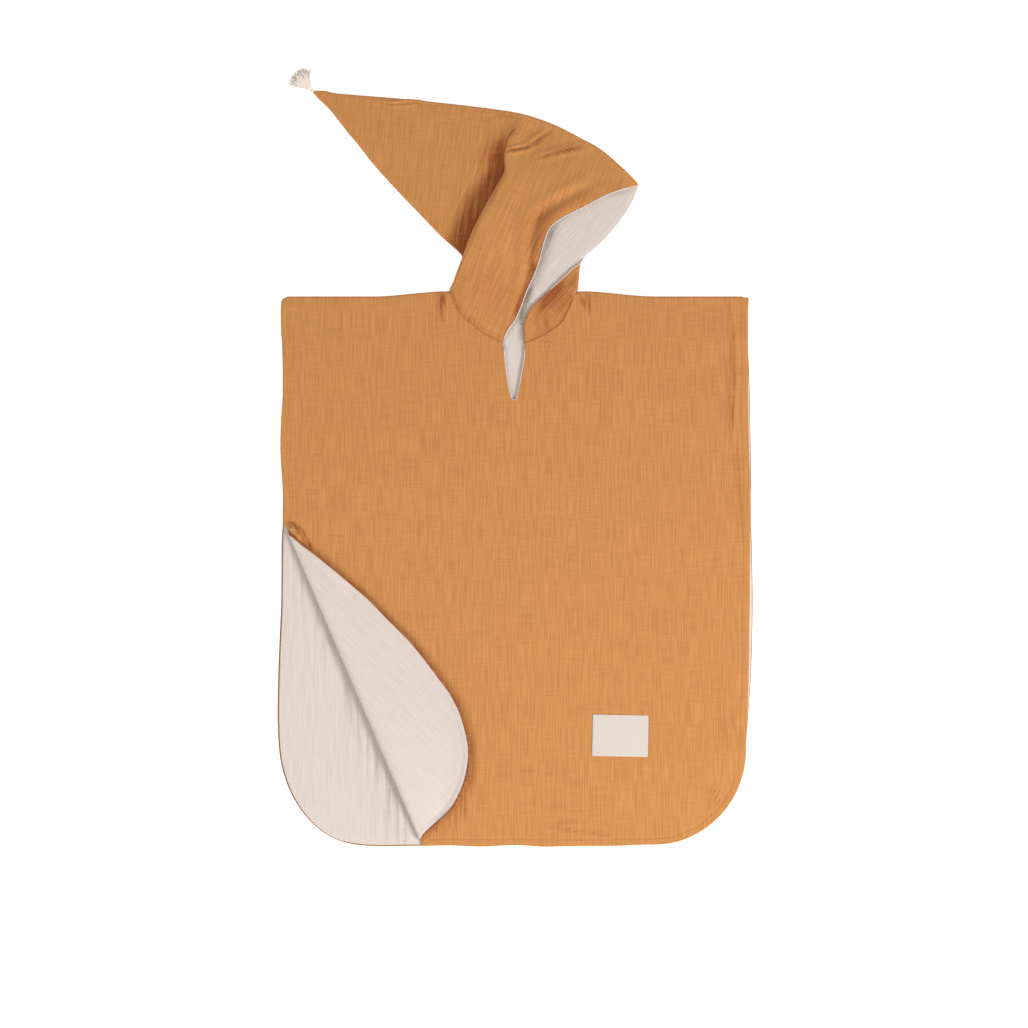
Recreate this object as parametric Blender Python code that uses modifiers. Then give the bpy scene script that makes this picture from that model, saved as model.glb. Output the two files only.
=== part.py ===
"""A child's hooded bath poncho in lined double gauze, laid flat on its back.

The garment lies in the XY plane, +Z up: the hood points to +Y and the hem to -Y.
The origin is the centre of its footprint, on the surface that it lies on.
One corner of the front is turned up, and the hood lies on its side.
Tables are in millimetres, and MM turns them to metres as the meshes are made.
"""

import math

import bmesh
import bpy
import numpy as np
from mathutils import Matrix, Vector

MM = 0.001
MERGE = 0.00002
TINY = 0.000001

# Cloth: two walls to each panel, an ochre outer and a cream lining. The lining stops
# short of the outer's edge, and shows as a thin line at the slit and the face opening.
WALL = 1.0
GAP = 0.3
LAYER = WALL + GAP
BACK_LEVEL = WALL / 2
FRONT_LEVEL = BACK_LEVEL + 3 * LAYER
OCHRE = (0.60, 0.28, 0.09, 1.0)
CREAM = (0.78, 0.69, 0.62, 1.0)
ROUGHNESS = 0.9
LINING_INSET = 2.5
PIPING = 1.5
SEAM = 0.4

# Body panels: the side edges by height, with the corners and shoulders worked out.
HEM_Y = -494.4
LEFT_CORNER = (110.0, 140.0)
RIGHT_CORNER = (122.0, 122.0)
CORNER_ANGLES = range(0, 91, 10)
SHOULDER_Y = 204.0
SHOULDER_RISE = 6.5
SHOULDER_FADE = 15.0
SHOULDER_CLIMBS = (180.0, 85.0)
NECK_DEPTH = 15.0
# y, left edge, right edge of the front, right edge of the back
EDGES = np.array([
    (204.0, -293.0, 295.5, 295.5),
    (199.0, -296.3, 297.6, 297.8),
    (184.0, -297.0, 297.0, 297.3),
    (164.0, -296.8, 296.8, 297.1),
    (144.0, -295.4, 296.7, 297.0),
    (114.0, -294.6, 297.4, 298.4),
    (83.0, -294.5, 297.8, 299.2),
    (48.0, -296.6, 298.6, 300.0),
    (12.0, -297.5, 299.2, 300.5),
    (-20.0, -295.8, 300.0, 301.1),
    (-50.0, -294.3, 300.3, 300.7),
    (-80.0, -294.6, 300.2, 300.8),
    (-110.0, -296.2, 299.6, 301.9),
    (-182.0, -296.7, 298.8, 303.1),
    (-232.0, -298.8, 298.3, 302.5),
    (-283.0, -300.7, 297.6, 300.6),
    (-325.0, -301.4, 296.0, 297.6),
    (-365.0, -300.3, 294.3, 294.8),
])

# Front neckline and slit: y, left side, right side.
OPENING = np.array([
    (210.5, -83.0, 80.0),
    (186.0, -72.0, 69.0),
    (170.0, -55.5, 59.0),
    (158.0, -40.5, 43.0),
    (151.0, -29.0, 29.0),
    (147.0, -20.0, 20.0),
    (145.0, -14.6, 13.3),
    (133.0, -13.3, 13.3),
    (108.0, -10.8, 9.5),
    (81.0, -5.4, 4.4),
    (72.4, 0.0, 0.0),
])
NECK_ROWS = 7
PLAIN_ROWS = (48.0, 12.0, -20.0, -50.0, -75.0)

# Turned-up corner: it rolls over the line from FOLD_TOP to FOLD_FOOT.
FOLD_TOP = np.array((-289.2, -92.8))
FOLD_FOOT = np.array((-118.8, -490.6))
FLAP_REST = 1.6
FLAP_LIFT = 3.0
FLAP_CURL = 4
FLAP_RIM = 3.0
FLAP_SETTLES = 50.0
FLAP_FALLS = 0.8
# distance along the fold, cloth past the start of the roll, radius of the roll
FLAP = np.array([
    (0.0, 0.0, 2.2),
    (3.0, 1.7, 2.2),
    (6.0, 3.5, 2.2),
    (9.0, 5.4, 2.2),
    (12.0, 7.5, 2.2),
    (17.0, 10.8, 2.2),
    (23.0, 14.4, 2.2),
    (47.0, 30.8, 3.2),
    (79.0, 49.6, 4.2),
    (118.0, 71.5, 4.8),
    (158.0, 87.9, 5.0),
    (198.0, 103.9, 5.0),
    (249.0, 115.4, 5.0),
    (281.0, 122.4, 5.0),
    (315.0, 122.9, 4.8),
    (338.0, 116.5, 4.6),
    (363.0, 103.4, 4.2),
    (387.0, 80.7, 3.6),
    (405.0, 55.4, 3.0),
    (416.0, 28.8, 2.6),
    (424.0, 12.0, 2.4),
    (426.0, 8.0, 2.4),
    (427.5, 5.8, 2.4),
    (429.0, 3.8, 2.4),
    (430.5, 1.9, 2.4),
    (432.0, 0.0, 2.4),
])
WIDEST_FLAP = 122.9
FLAP_STEPS = 5
ROLL_STEPS = 6
HALF_STEPS = 6

# Upper half of the hood, by sections from the neck seam to the tip: where its back edge,
# its crease and its front edge lie, in x and y.
UPPER = np.array([
    (-83.0, 210.5, -83.0, 210.5, -14.6, 145.0),
    (-78.2, 219.9, -78.2, 219.9, -10.8, 157.6),
    (-74.4, 231.3, -74.4, 231.3, 0.6, 174.1),
    (-65.5, 254.2, -65.5, 254.2, 7.0, 188.1),
    (-96.0, 284.7, -56.6, 278.3, 14.6, 208.4),
    (-129.0, 319.0, -41.3, 310.1, 28.6, 241.5),
    (-154.4, 345.7, -24.8, 339.4, 43.8, 289.8),
    (-177.3, 371.1, -12.1, 364.8, 90.9, 319.0),
    (-202.7, 402.9, -13.3, 387.7, 157.0, 345.7),
    (-207.2, 408.0, -15.0, 398.5, 136.6, 367.3),
    (-211.6, 413.1, -20.0, 408.0, 111.2, 388.9),
    (-216.0, 418.8, -42.0, 416.5, 82.0, 405.4),
    (-220.5, 424.5, -70.0, 424.0, 42.6, 424.5),
    (-225.0, 430.2, -97.0, 431.5, 4.4, 436.0),
    (-229.4, 436.0, -125.0, 438.0, -38.8, 442.3),
    (-238.3, 446.1, -187.0, 450.0, -141.7, 453.7),
    (-247.2, 454.2, -236.0, 457.6, -225.5, 460.8),
    (-252.4, 459.4, -248.0, 462.0, -243.5, 464.6),
    (-257.4, 465.2, -257.4, 465.2, -257.4, 465.2),
])
# Heights of the sections up to the corner: radius of the fold under the crease, rise of
# the front band over the tail, overhang of the crease, lift of the face edge.
HEIGHTS = np.array([
    (0.0, 0.0, 0.0, 0.0),
    (1.3, 8.0, 2.6, 3.0),
    (1.5, 11.0, 3.6, 5.0),
    (1.6, 14.0, 5.0, 6.5),
    (1.6, 16.5, 6.0, 7.5),
    (1.6, 17.0, 6.0, 8.0),
    (1.6, 14.5, 5.5, 8.0),
    (1.3, 8.5, 3.0, 5.0),
    (0.0, 0.0, 0.0, 0.0),
])
UPPER_ROWS = (0, 0.5, 1, 1.5, 2, 2.5, 3, 3.5, 4, 4.5, 5, 5.5, 6, 6.5, 7, 7.5, *range(8, 19))
CORNER = 8
UPPER_BOW = 2.0
EDGE_FADE = 10.0
# Lower half, by sections: back edge, the turn where its cloth rolls up and over, where
# it ends on top, in x and y, and the radius of the turn. The corner's section follows.
LOWER_FRONT = np.array([
    (-83.0, 210.5, 80.0, 210.5, 13.3, 145.0, 1.95),
    (-80.5, 215.5, 81.0, 214.5, 12.1, 165.2, 3.0),
    (-78.0, 221.0, 81.3, 219.0, 19.7, 186.8, 3.8),
    (-75.0, 230.0, 82.0, 227.0, 42.0, 209.0, 4.3),
    (-70.0, 243.0, 82.5, 236.0, 66.0, 231.5, 4.0),
    (-65.5, 254.2, 84.0, 244.0, 78.5, 243.7, 4.0),
    (-96.0, 284.7, 89.0, 255.0, 89.0, 255.0, 4.0),
    (-129.0, 319.0, 107.4, 270.7, 107.4, 270.7, 0.0),
    (-154.4, 345.7, 130.3, 296.1, 130.3, 296.1, 0.0),
    (-177.3, 371.1, 148.1, 322.8, 148.1, 322.8, 0.0),
])
LOWER_ROWS = (0, 1, 2, 3, 4, 4.5, 5, 5.25, 5.5, 5.75, 6, 6.5, 7, 7.5, 8, 8.5, *range(9, 21))
TURN_END = 6
LOWER_CORNER = len(LOWER_FRONT)
TAIL_STEPS = 4
UNDER_STEPS = 3
CREASE_STEPS = 5
BAND_STEPS = NECK_ROWS - 1
FLOOR_STEPS = 8
TURN_STEPS = 4
BRIDGE_STEPS = 3
LINING_SLACK = 1.6
NECK_CENTRE = np.array((0.0, 225.0))
LOWER_BOW = 3.5

# Label and tassel.
LABEL_SIZE = (70.0, 52.0)
LABEL_PLACE = (134.5, -354.0)
LABEL_TURN = math.radians(-1.0)
LABEL_CORNER = 2.0
LABEL_ANGLES = (0, 30, 60, 90)
TASSEL_HEAD = (-260.9, 468.9, 4.6)
TASSEL_RADIUS = 4.0
TASSEL_SPLITS = 3
TASSEL_AIM = (-0.67, 0.74, 0.0)
TASSEL_SPREAD = math.radians(62.0)
STRAND_INSET = 0.18
STRAND_STEPS = 3
FAN_LENGTH = 27.0
FAN_WIDTH = 3.4
FAN_HEIGHT = 0.85


def clear_scene():
    """Removes what the start-up file holds."""
    for thing in list(bpy.data.objects):
        bpy.data.objects.remove(thing)


def finish_of(name, colour):
    """A Principled material in one cloth's colour."""
    material = bpy.data.materials.new(name)
    material.use_nodes = True
    shader = material.node_tree.nodes["Principled BSDF"]
    shader.inputs["Base Color"].default_value = colour
    shader.inputs["Roughness"].default_value = ROUGHNESS
    return material


def add_object(name, mesh, colour, collection):
    """Turns a bmesh into a named object with its own material."""
    data = bpy.data.meshes.new(name)
    mesh.to_mesh(data)
    mesh.free()
    data.materials.append(finish_of(name, colour))
    thing = bpy.data.objects.new(name, data)
    collection.objects.link(thing)
    return thing


def between(rows, position):
    """A row of a table at a fractional index, smooth and without overshoot."""
    index = int(min(position, len(rows) - 2))
    step = position - index
    steps = np.diff(rows, axis=0)
    before = steps[max(index - 1, 0)]
    here = steps[index]
    after = steps[min(index + 1, len(steps) - 1)]
    start = shared_slope(before, here)
    end = shared_slope(here, after)
    square = step * step
    cube = square * step
    value = rows[index] * (2 * cube - 3 * square + 1) + rows[index + 1] * (3 * square - 2 * cube)
    return value + start * (cube - 2 * square + step) + end * (cube - square)


def shared_slope(first, second):
    """Slope at a row from the steps on its two sides, none where they turn round."""
    product = first * second
    total = np.where(product > 0, first + second, 1.0)
    return np.where(product > 0, 2 * product / total, 0.0)


def ease(part):
    """Smooth run from 0 to 1."""
    part = min(max(part, 0.0), 1.0)
    return part * part * (3 - 2 * part)


def side_at(y, column):
    """Side edge of a body panel at a height: the table, then the round corner."""
    heights = EDGES[::-1, 0]
    edge = float(np.interp(y, heights, EDGES[::-1, column]))
    wide, tall = LEFT_CORNER if column == 1 else RIGHT_CORNER
    drop = min(max(HEM_Y + tall - y, 0.0) / tall, 1.0)
    cut = wide * (1 - math.sqrt(1 - drop ** 2))
    return edge + cut if column == 1 else edge - cut


def rise_at(x, y):
    """The shoulder seams climb towards the neck."""
    outer, inner = SHOULDER_CLIMBS
    fade = ease((y - SHOULDER_Y + SHOULDER_FADE) / SHOULDER_FADE)
    return SHOULDER_RISE * fade * ease((outer - abs(x)) / (outer - inner))


def shoulder(column, inset):
    """The top edge of the back from one side to the neck, as the front's top edge runs."""
    side = side_at(SHOULDER_Y, column)
    side += inset if column == 1 else -inset
    neck = OPENING[0, min(column, 2)]
    places = [side + (neck - side) * step / HALF_STEPS for step in range(1, HALF_STEPS)]
    return [(x, SHOULDER_Y - inset + rise_at(x, SHOULDER_Y)) for x in places]


def back_outline(inset):
    """Outline of the back panel: up its right side, along the neck, down its left side."""
    sides = []
    for column, (_, tall) in ((1, LEFT_CORNER), (3, RIGHT_CORNER)):
        quarter = [math.radians(angle) for angle in CORNER_ANGLES]
        corner = [HEM_Y + tall * (1 - math.sin(angle)) for angle in quarter]
        heights = sorted(corner + [y for y in EDGES[:, 0] if y > corner[0]])
        side = []
        for y in heights:
            x = side_at(y, column) + (inset if column == 1 else -inset)
            side.append((x, min(max(y, HEM_Y + inset), SHOULDER_Y - inset)))
        sides.append(side + shoulder(column, inset))
    neck = [back_neck(step / FLOOR_STEPS) for step in range(FLOOR_STEPS + 1)]
    return sides[1] + neck[::-1] + sides[0][::-1]


def back_neck(part):
    """Back neckline from left to right, a shallow dip between the shoulders."""
    left = OPENING[0, 1]
    right = OPENING[0, 2]
    dip = 4 * NECK_DEPTH * part * (1 - part)
    return (left + (right - left) * part, OPENING[0, 0] - dip)


def flat_panel(name, outline, level, colour, collection):
    """A flat outline as a filled 2D curve, extruded to a wall."""
    curve = bpy.data.curves.new(name, "CURVE")
    curve.dimensions = "2D"
    curve.fill_mode = "BOTH"
    curve.extrude = WALL / 2 * MM
    spline = curve.splines.new("POLY")
    spline.points.add(len(outline) - 1)
    spline.use_cyclic_u = True
    for point, (x, y) in zip(spline.points, outline):
        point.co = (x * MM, y * MM, 0.0, 1.0)
    thing = bpy.data.objects.new(name, curve)
    thing.location.z = level * MM
    curve.materials.append(finish_of(name, colour))
    collection.objects.link(thing)


def add_grid(mesh, points):
    """Adds a grid of quads whose corners are the given rows of points."""
    rows, columns = points.shape[:2]
    made = bmesh.ops.create_grid(mesh, x_segments=columns - 1, y_segments=rows - 1, size=1.0)
    for vert, place in zip(made["verts"], points.reshape(-1, 3)):
        vert.co = Vector(place) * MM


def cloth(name, grids, colour, collection, shift=0.0):
    """A wall of cloth on one or more grids, moved along its normals by shift."""
    mesh = bmesh.new()
    for points in grids:
        add_grid(mesh, points)
    bmesh.ops.remove_doubles(mesh, verts=mesh.verts, dist=MERGE)
    mesh.normal_update()
    moves = [vert.normal * (shift * MM) for vert in mesh.verts]
    for vert, move in zip(mesh.verts, moves):
        vert.co += move
    thing = add_object(name, mesh, colour, collection)
    wall = thing.modifiers.new("Wall", "SOLIDIFY")
    wall.thickness = WALL * MM
    wall.offset = 0.0
    wall.use_quality_normals = True


def fold_frame():
    """Direction along the fold line and the direction across it, into the panel."""
    along = FOLD_FOOT - FOLD_TOP
    along = along / np.linalg.norm(along)
    across = np.array((-along[1], along[0]))
    return along, across


def flap_row(row, rim, out):
    """Points of the turned-up corner at one place on the fold, free edge first."""
    distance, whole, radius = row
    along, across = fold_frame()
    axis = FOLD_TOP + along * distance + across * (radius + LAYER + WALL / 2)
    half_turn = math.pi * radius
    cloth_past = whole - rim if whole - rim > half_turn else whole
    flat = max(cloth_past - half_turn, 0.0)
    width = max(whole - half_turn, 0.0)
    fall = (2 * radius - FLAP_REST) * min(width / FLAP_SETTLES, 1.0)
    points = []
    for step in range(FLAP_STEPS):
        reach = flat * (1 - step / FLAP_STEPS)
        part = reach / max(width, 1.0)
        across_by, height = roll_point(cloth_past, radius, out)
        height += FLAP_LIFT * part ** FLAP_CURL * whole / WIDEST_FLAP
        height -= fall * ease(part / FLAP_FALLS)
        points.append((*(axis + across * (reach + across_by)), height))
    for step in range(ROLL_STEPS + 1):
        round_roll = min(cloth_past, half_turn) * (1 - step / ROLL_STEPS)
        across_by, height = roll_point(round_roll, radius, out)
        points.append((*(axis + across * across_by), height))
    return points


def roll_point(length, radius, out):
    """Place across the fold and height of a point that far round the roll."""
    angle = min(length / radius, math.pi)
    across_by = -(radius + out) * math.sin(angle)
    return across_by, FRONT_LEVEL + radius - (radius + out) * math.cos(angle)


def front_rows():
    """Heights of the front panel's rows, each with its flap row or none."""
    along, _ = fold_frame()
    rows = [(y, None) for y in OPENING[:, 0]]
    rows[0] = (SHOULDER_Y, None)
    rows += [(y, None) for y in PLAIN_ROWS]
    for row in FLAP:
        rows.append((FOLD_TOP[1] + along[1] * row[0], row))
    rows.append((FOLD_FOOT[1], None))
    rows.append((HEM_Y, None))
    return rows[::-1]


def front_left(y):
    """Left edge of the front where no corner is turned up over it."""
    if y >= FOLD_TOP[1]:
        return side_at(y, 1)
    along, _ = fold_frame()
    return FOLD_FOOT[0] + along[0] / along[1] * (y - FOLD_FOOT[1])


def front_panel(inset, piping, out):
    """Left and right halves of the front panel as two grids, moved out by a layer."""
    level = FRONT_LEVEL - out
    left_grid = []
    right_grid = []
    for row_y, flap in front_rows():
        y = min(max(row_y, HEM_Y + inset), SHOULDER_Y - inset)
        mouth = [np.interp(row_y, OPENING[::-1, 0], OPENING[::-1, side]) for side in (1, 2)]
        if row_y == SHOULDER_Y:
            mouth = [OPENING[0, 1], OPENING[0, 2]]
        slit = piping if OPENING[-1, 0] < row_y < OPENING[NECK_ROWS - 1, 0] else 0.0
        inner_left = min(mouth[0] + slit, 0.0)
        inner_right = max(mouth[1] - slit, 0.0)
        if flap is None:
            start = (front_left(row_y) + inset, y, level)
            turned = [start] * (FLAP_STEPS + ROLL_STEPS)
        else:
            turned = flap_row(flap, FLAP_RIM if inset else 0.0, out)
            start = turned.pop()
        row = list(turned)
        for step in range(HALF_STEPS + 1):
            part = step / HALF_STEPS
            x = start[0] + (inner_left - start[0]) * part
            height = start[1] + (y - start[1]) * part
            row.append((x, height + rise_at(x, row_y), level))
        left_grid.append(row)
        row = []
        end = side_at(row_y, 2) - inset
        for step in range(HALF_STEPS + 1):
            x = inner_right + (end - inner_right) * step / HALF_STEPS
            row.append((x, y + rise_at(x, row_y), level))
        right_grid.append(row)
    return [np.array(left_grid), np.array(right_grid)]


def neck_bow(side, part):
    """How far the front neckline bows away from the straight line between its ends."""
    ends = OPENING[[0, NECK_ROWS - 1]]
    index = part * (NECK_ROWS - 1)
    whole = OPENING[:NECK_ROWS]
    place = np.array([np.interp(index, range(NECK_ROWS), whole[:, column]) for column in (side, 0)])
    straight = ends[0] + (ends[1] - ends[0]) * part
    inward = NECK_CENTRE - place
    inward = inward / np.linalg.norm(inward)
    return place - straight[[side, 0]] + inward * SEAM


def bow_share(position, sections):
    """The bow fades out over the first sections above the neck seam."""
    return max(1 - position / sections, 0.0) ** 2


def upper_section(position):
    """Places and heights of one section of the upper half."""
    plan = between(UPPER, position)
    under, rise, overhang, lip = between(HEIGHTS, min(position, CORNER))
    run = plan[4:6] - plan[2:4]
    aim = safe_unit(run)
    foot = plan[2:4] + aim * overhang
    return plan[0:2], foot, plan[4:6], aim, under, rise, overhang, lip


def band_point(section, position, part, stretch, drop):
    """A point of the front band, from the crease at 0 to the face edge at 1."""
    _, foot, front, aim, _, rise, _, lip = section
    place = foot + (front - foot) * part + neck_bow(1, part) * bow_share(position, UPPER_BOW)
    place = place + aim * stretch
    return (*place, FRONT_LEVEL + rise + (lip - rise) * ease(part) - drop)


def upper_outer_row(position):
    """One section of the upper half's outer, from its back edge to its front edge."""
    section = upper_section(position)
    back, foot, _, aim, under, rise, overhang, _ = section
    points = []
    for step in range(TAIL_STEPS):
        place = back + (foot - back) * step / TAIL_STEPS
        points.append((*place, FRONT_LEVEL))
    for step in range(UNDER_STEPS):
        angle = math.pi * (step / UNDER_STEPS - 0.5)
        place = foot + aim * under * math.cos(angle)
        points.append((*place, FRONT_LEVEL + under * (1 + math.sin(angle))))
    half = (rise - 2 * under) / 2
    middle = FRONT_LEVEL + 2 * under + half
    for step in range(CREASE_STEPS):
        angle = -math.pi * (0.5 + step / CREASE_STEPS)
        place = foot + aim * overhang * math.cos(angle)
        points.append((*place, middle + half * math.sin(angle)))
    for step in range(BAND_STEPS + 1):
        points.append(band_point(section, position, step / BAND_STEPS, 0.0, 0.0))
    return points


def upper_lining_row(position):
    """One section of the upper half's lining, which bridges the crease inside it."""
    section = upper_section(position)
    back, foot, front, aim, under, rise, _, _ = section
    room = np.linalg.norm(foot - back)
    back = back + safe_unit(foot - back) * min(LINING_INSET, room / 2)
    slack = LINING_SLACK if rise else 0.0
    start = foot + aim * (under + slack)
    points = []
    for step in range(TAIL_STEPS):
        place = back + (start - back) * step / TAIL_STEPS
        points.append((*place, FRONT_LEVEL - LAYER))
    first = np.array(band_point(section, position, 1 / BAND_STEPS, 0.0, LAYER))
    low = np.array((*start, FRONT_LEVEL - LAYER))
    for step in range(BRIDGE_STEPS):
        part = step / BRIDGE_STEPS
        point = low + (first - low) * part
        point[2] = low[2] + (first[2] - low[2]) * ease(part)
        points.append(tuple(point))
    edge = PIPING * min(position, 1.0) if position < CORNER else -LINING_INSET
    edge *= min(np.linalg.norm(front - foot) / EDGE_FADE, 1.0)
    for step in range(1, BAND_STEPS + 1):
        stretch = edge if step == BAND_STEPS else 0.0
        points.append(band_point(section, position, step / BAND_STEPS, stretch, LAYER))
    return points


def safe_unit(vector):
    """Unit vector, or none where the vector has no length."""
    length = np.linalg.norm(vector)
    return vector / length if length > TINY else vector * 0.0


def lower_sections():
    """Table of the lower half: its own front sections, then those that it shares."""
    shared = UPPER[CORNER:]
    none = np.zeros((len(shared), 1))
    return np.vstack((LOWER_FRONT, np.hstack((shared[:, [0, 1, 4, 5, 4, 5]], none))))


def lower_row(position, inset, piping):
    """One section of the lower half: along the floor, round the turn and back."""
    plan = between(lower_sections(), position)
    back, turn, end, radius = plan[0:2], plan[2:4], plan[4:6], plan[6]
    aim = safe_unit(turn - back)
    room = np.linalg.norm(turn - back) / 2
    sweep = min(max(TURN_END - position, 0.0), 1.0)
    bow = bow_share(position, LOWER_BOW)
    edge = piping if position < LOWER_CORNER else -min(inset, room)
    edge *= min(position, 1.0)
    back = back + aim * min(inset, room)
    seam = np.array((0.0, SEAM * bow))
    centre = turn - aim * radius * min(2 * sweep, 1.0)
    trim = edge if position > TURN_END else 0.0
    points = []
    for step in range(FLOOR_STEPS):
        part = step / FLOOR_STEPS
        dip = np.array((0.0, 4 * NECK_DEPTH * part * (1 - part) * bow))
        place = back + (centre - back) * part - dip + seam + aim * trim * part
        points.append((*place, BACK_LEVEL))
    for step in range(TURN_STEPS + 1):
        angle = math.pi * (step / TURN_STEPS * sweep - 0.5)
        place = centre + aim * (radius * math.cos(angle) + trim) + seam
        top = BACK_LEVEL + radius * (1 + math.sin(angle))
        points.append((*place, top))
    last = points.pop()
    if sweep < 1:
        return points + [last] * (BAND_STEPS + 1)
    away = safe_unit(end - centre)
    rest = FRONT_LEVEL + (top - FRONT_LEVEL) * ease(position / (TURN_END - 1))
    for step in range(BAND_STEPS + 1):
        part = step / BAND_STEPS
        place = centre + (end - centre) * part + neck_bow(2, part) * bow
        if step == BAND_STEPS:
            place = place + away * edge
        points.append((*place, top + (rest - top) * ease(part)))
    return points


def label(collection):
    """The sewn label: a thin plate with small round corners, on the front panel."""
    width, height = LABEL_SIZE
    outline = []
    for quarter in range(4):
        side_x = 1 if quarter in (0, 3) else -1
        side_y = 1 if quarter in (0, 1) else -1
        centre = Vector((side_x * (width / 2 - LABEL_CORNER), side_y * (height / 2 - LABEL_CORNER)))
        for part in LABEL_ANGLES:
            angle = math.radians(90 * quarter + part)
            outline.append(centre + LABEL_CORNER * Vector((math.cos(angle), math.sin(angle))))
    turn = Matrix.Rotation(LABEL_TURN, 2)
    places = [turn @ point + Vector(LABEL_PLACE) for point in outline]
    flat_panel("label", places, FRONT_LEVEL + LAYER, CREAM, collection)


def tassel(collection):
    """A round head whose faces are drawn out into strands that fan over the floor."""
    mesh = bmesh.new()
    bmesh.ops.create_icosphere(mesh, subdivisions=TASSEL_SPLITS, radius=TASSEL_RADIUS)
    aim = Vector(TASSEL_AIM).normalized()
    side = Vector((0.0, 0.0, 1.0)).cross(aim)
    limit = TASSEL_RADIUS * math.cos(TASSEL_SPREAD)
    roots = [face for face in mesh.faces if face.calc_center_median().dot(aim) > limit]
    bmesh.ops.inset_individual(mesh, faces=roots, thickness=STRAND_INSET)
    starts = [face.calc_center_median() for face in roots]
    for step in range(1, STRAND_STEPS + 1):
        roots = bmesh.ops.extrude_discrete_faces(mesh, faces=roots)["faces"]
        for face, start in zip(roots, starts):
            end = aim * FAN_LENGTH + side * start.dot(side) * FAN_WIDTH
            end.z = start.z * FAN_HEIGHT
            part = step / STRAND_STEPS
            move = start.lerp(end, part) - face.calc_center_median()
            for vert in face.verts:
                vert.co += move
    for vert in mesh.verts:
        vert.co = (vert.co + Vector(TASSEL_HEAD)) * MM
    add_object("tassel", mesh, CREAM, collection)


def build():
    """Makes every piece of the poncho."""
    clear_scene()
    pieces = bpy.data.collections.new("hooded_poncho")
    bpy.context.scene.collection.children.link(pieces)
    flat_panel("back_outer", back_outline(0.0), BACK_LEVEL, OCHRE, pieces)
    flat_panel("back_lining", back_outline(LINING_INSET), BACK_LEVEL + LAYER, CREAM, pieces)
    cloth("front_outer", front_panel(0.0, 0.0, 0.0), OCHRE, pieces)
    cloth("front_lining", front_panel(LINING_INSET, PIPING, LAYER), CREAM, pieces)
    outer = np.array([upper_outer_row(position) for position in UPPER_ROWS])
    cloth("hood_near_outer", [outer], OCHRE, pieces)
    lining = np.array([upper_lining_row(position) for position in UPPER_ROWS])
    cloth("hood_near_lining", [lining], CREAM, pieces)
    outer = np.array([lower_row(position, 0.0, 0.0) for position in LOWER_ROWS])
    cloth("hood_far_outer", [outer], OCHRE, pieces)
    lining = np.array([lower_row(position, LINING_INSET, PIPING) for position in LOWER_ROWS])
    cloth("hood_far_lining", [lining], CREAM, pieces, LAYER)
    label(pieces)
    tassel(pieces)


build()
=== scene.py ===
"""A child's hooded bath poncho in lined double gauze, laid flat: how it looks.

Lengths in the tables are millimetres in the part's own frame, and MM makes them metres.
"""

import math

import bmesh
import bpy
import numpy as np
from mathutils import Matrix, Vector
from mathutils.bvhtree import BVHTree
from mathutils.kdtree import KDTree


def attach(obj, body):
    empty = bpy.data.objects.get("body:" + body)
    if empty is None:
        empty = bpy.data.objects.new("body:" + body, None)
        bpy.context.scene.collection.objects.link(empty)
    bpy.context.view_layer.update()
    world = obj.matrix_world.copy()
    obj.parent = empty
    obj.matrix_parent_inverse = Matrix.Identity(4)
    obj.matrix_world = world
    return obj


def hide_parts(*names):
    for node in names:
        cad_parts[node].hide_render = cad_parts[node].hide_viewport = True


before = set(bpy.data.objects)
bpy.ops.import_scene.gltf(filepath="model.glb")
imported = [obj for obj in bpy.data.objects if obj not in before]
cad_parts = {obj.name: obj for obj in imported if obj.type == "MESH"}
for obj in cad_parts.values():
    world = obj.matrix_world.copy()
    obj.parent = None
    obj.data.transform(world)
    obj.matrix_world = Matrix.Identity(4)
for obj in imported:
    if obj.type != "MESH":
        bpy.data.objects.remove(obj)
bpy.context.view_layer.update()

# ---------------------------------------------------------------------------------------
# Back panel. Two layers of cotton double gauze, ochre outside and cream inside, cut alike,
# sewn face to face round the edge and turned, so the ochre rolls a little over the cream.
# It lies on its outer side, with the shoulders sewn to the front and the sides open.

MM = 0.001
MERGE = 0.00002

SEAM_ROLL = 0.6
PEEK_ROLL = 0.4
CLOSED_ROLL = 1.95
NECK_ROLL = 0.8
EDGE_REACH = 8.0
WALL = 0.6
LAYER = 1.3
BACK_LEVEL = 0.5
LINING_LEVEL = BACK_LEVEL + LAYER
FRONT_LEVEL = BACK_LEVEL + 3 * LAYER
LINING_INSET = 1.5
PEEK_INSET = 0.75

HEM_Y = -494.4
LEFT_CORNER = (110.0, 140.0)
RIGHT_CORNER = (122.0, 122.0)
SHOULDER_Y = 204.0
SHOULDER_RISE = 6.5
SHOULDER_FADE = 15.0
SHOULDER_CLIMBS = (180.0, 85.0)
NECK_LEFT, NECK_RIGHT = -83.0, 80.0
NECK_DEPTH = 15.0
NECK_REACH = 40.0
NECK_FADE = 6.0
# the neck's and the shoulders' edges lie within the first of these in x, and above the second
NECK_HALF, NECK_EDGE = 84.0, 185.0
SHOULDER_HALF, SHOULDER_EDGE = 290.0, 190.0
# and the right side lies past this
RIGHT_SIDE = 285.0
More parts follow.
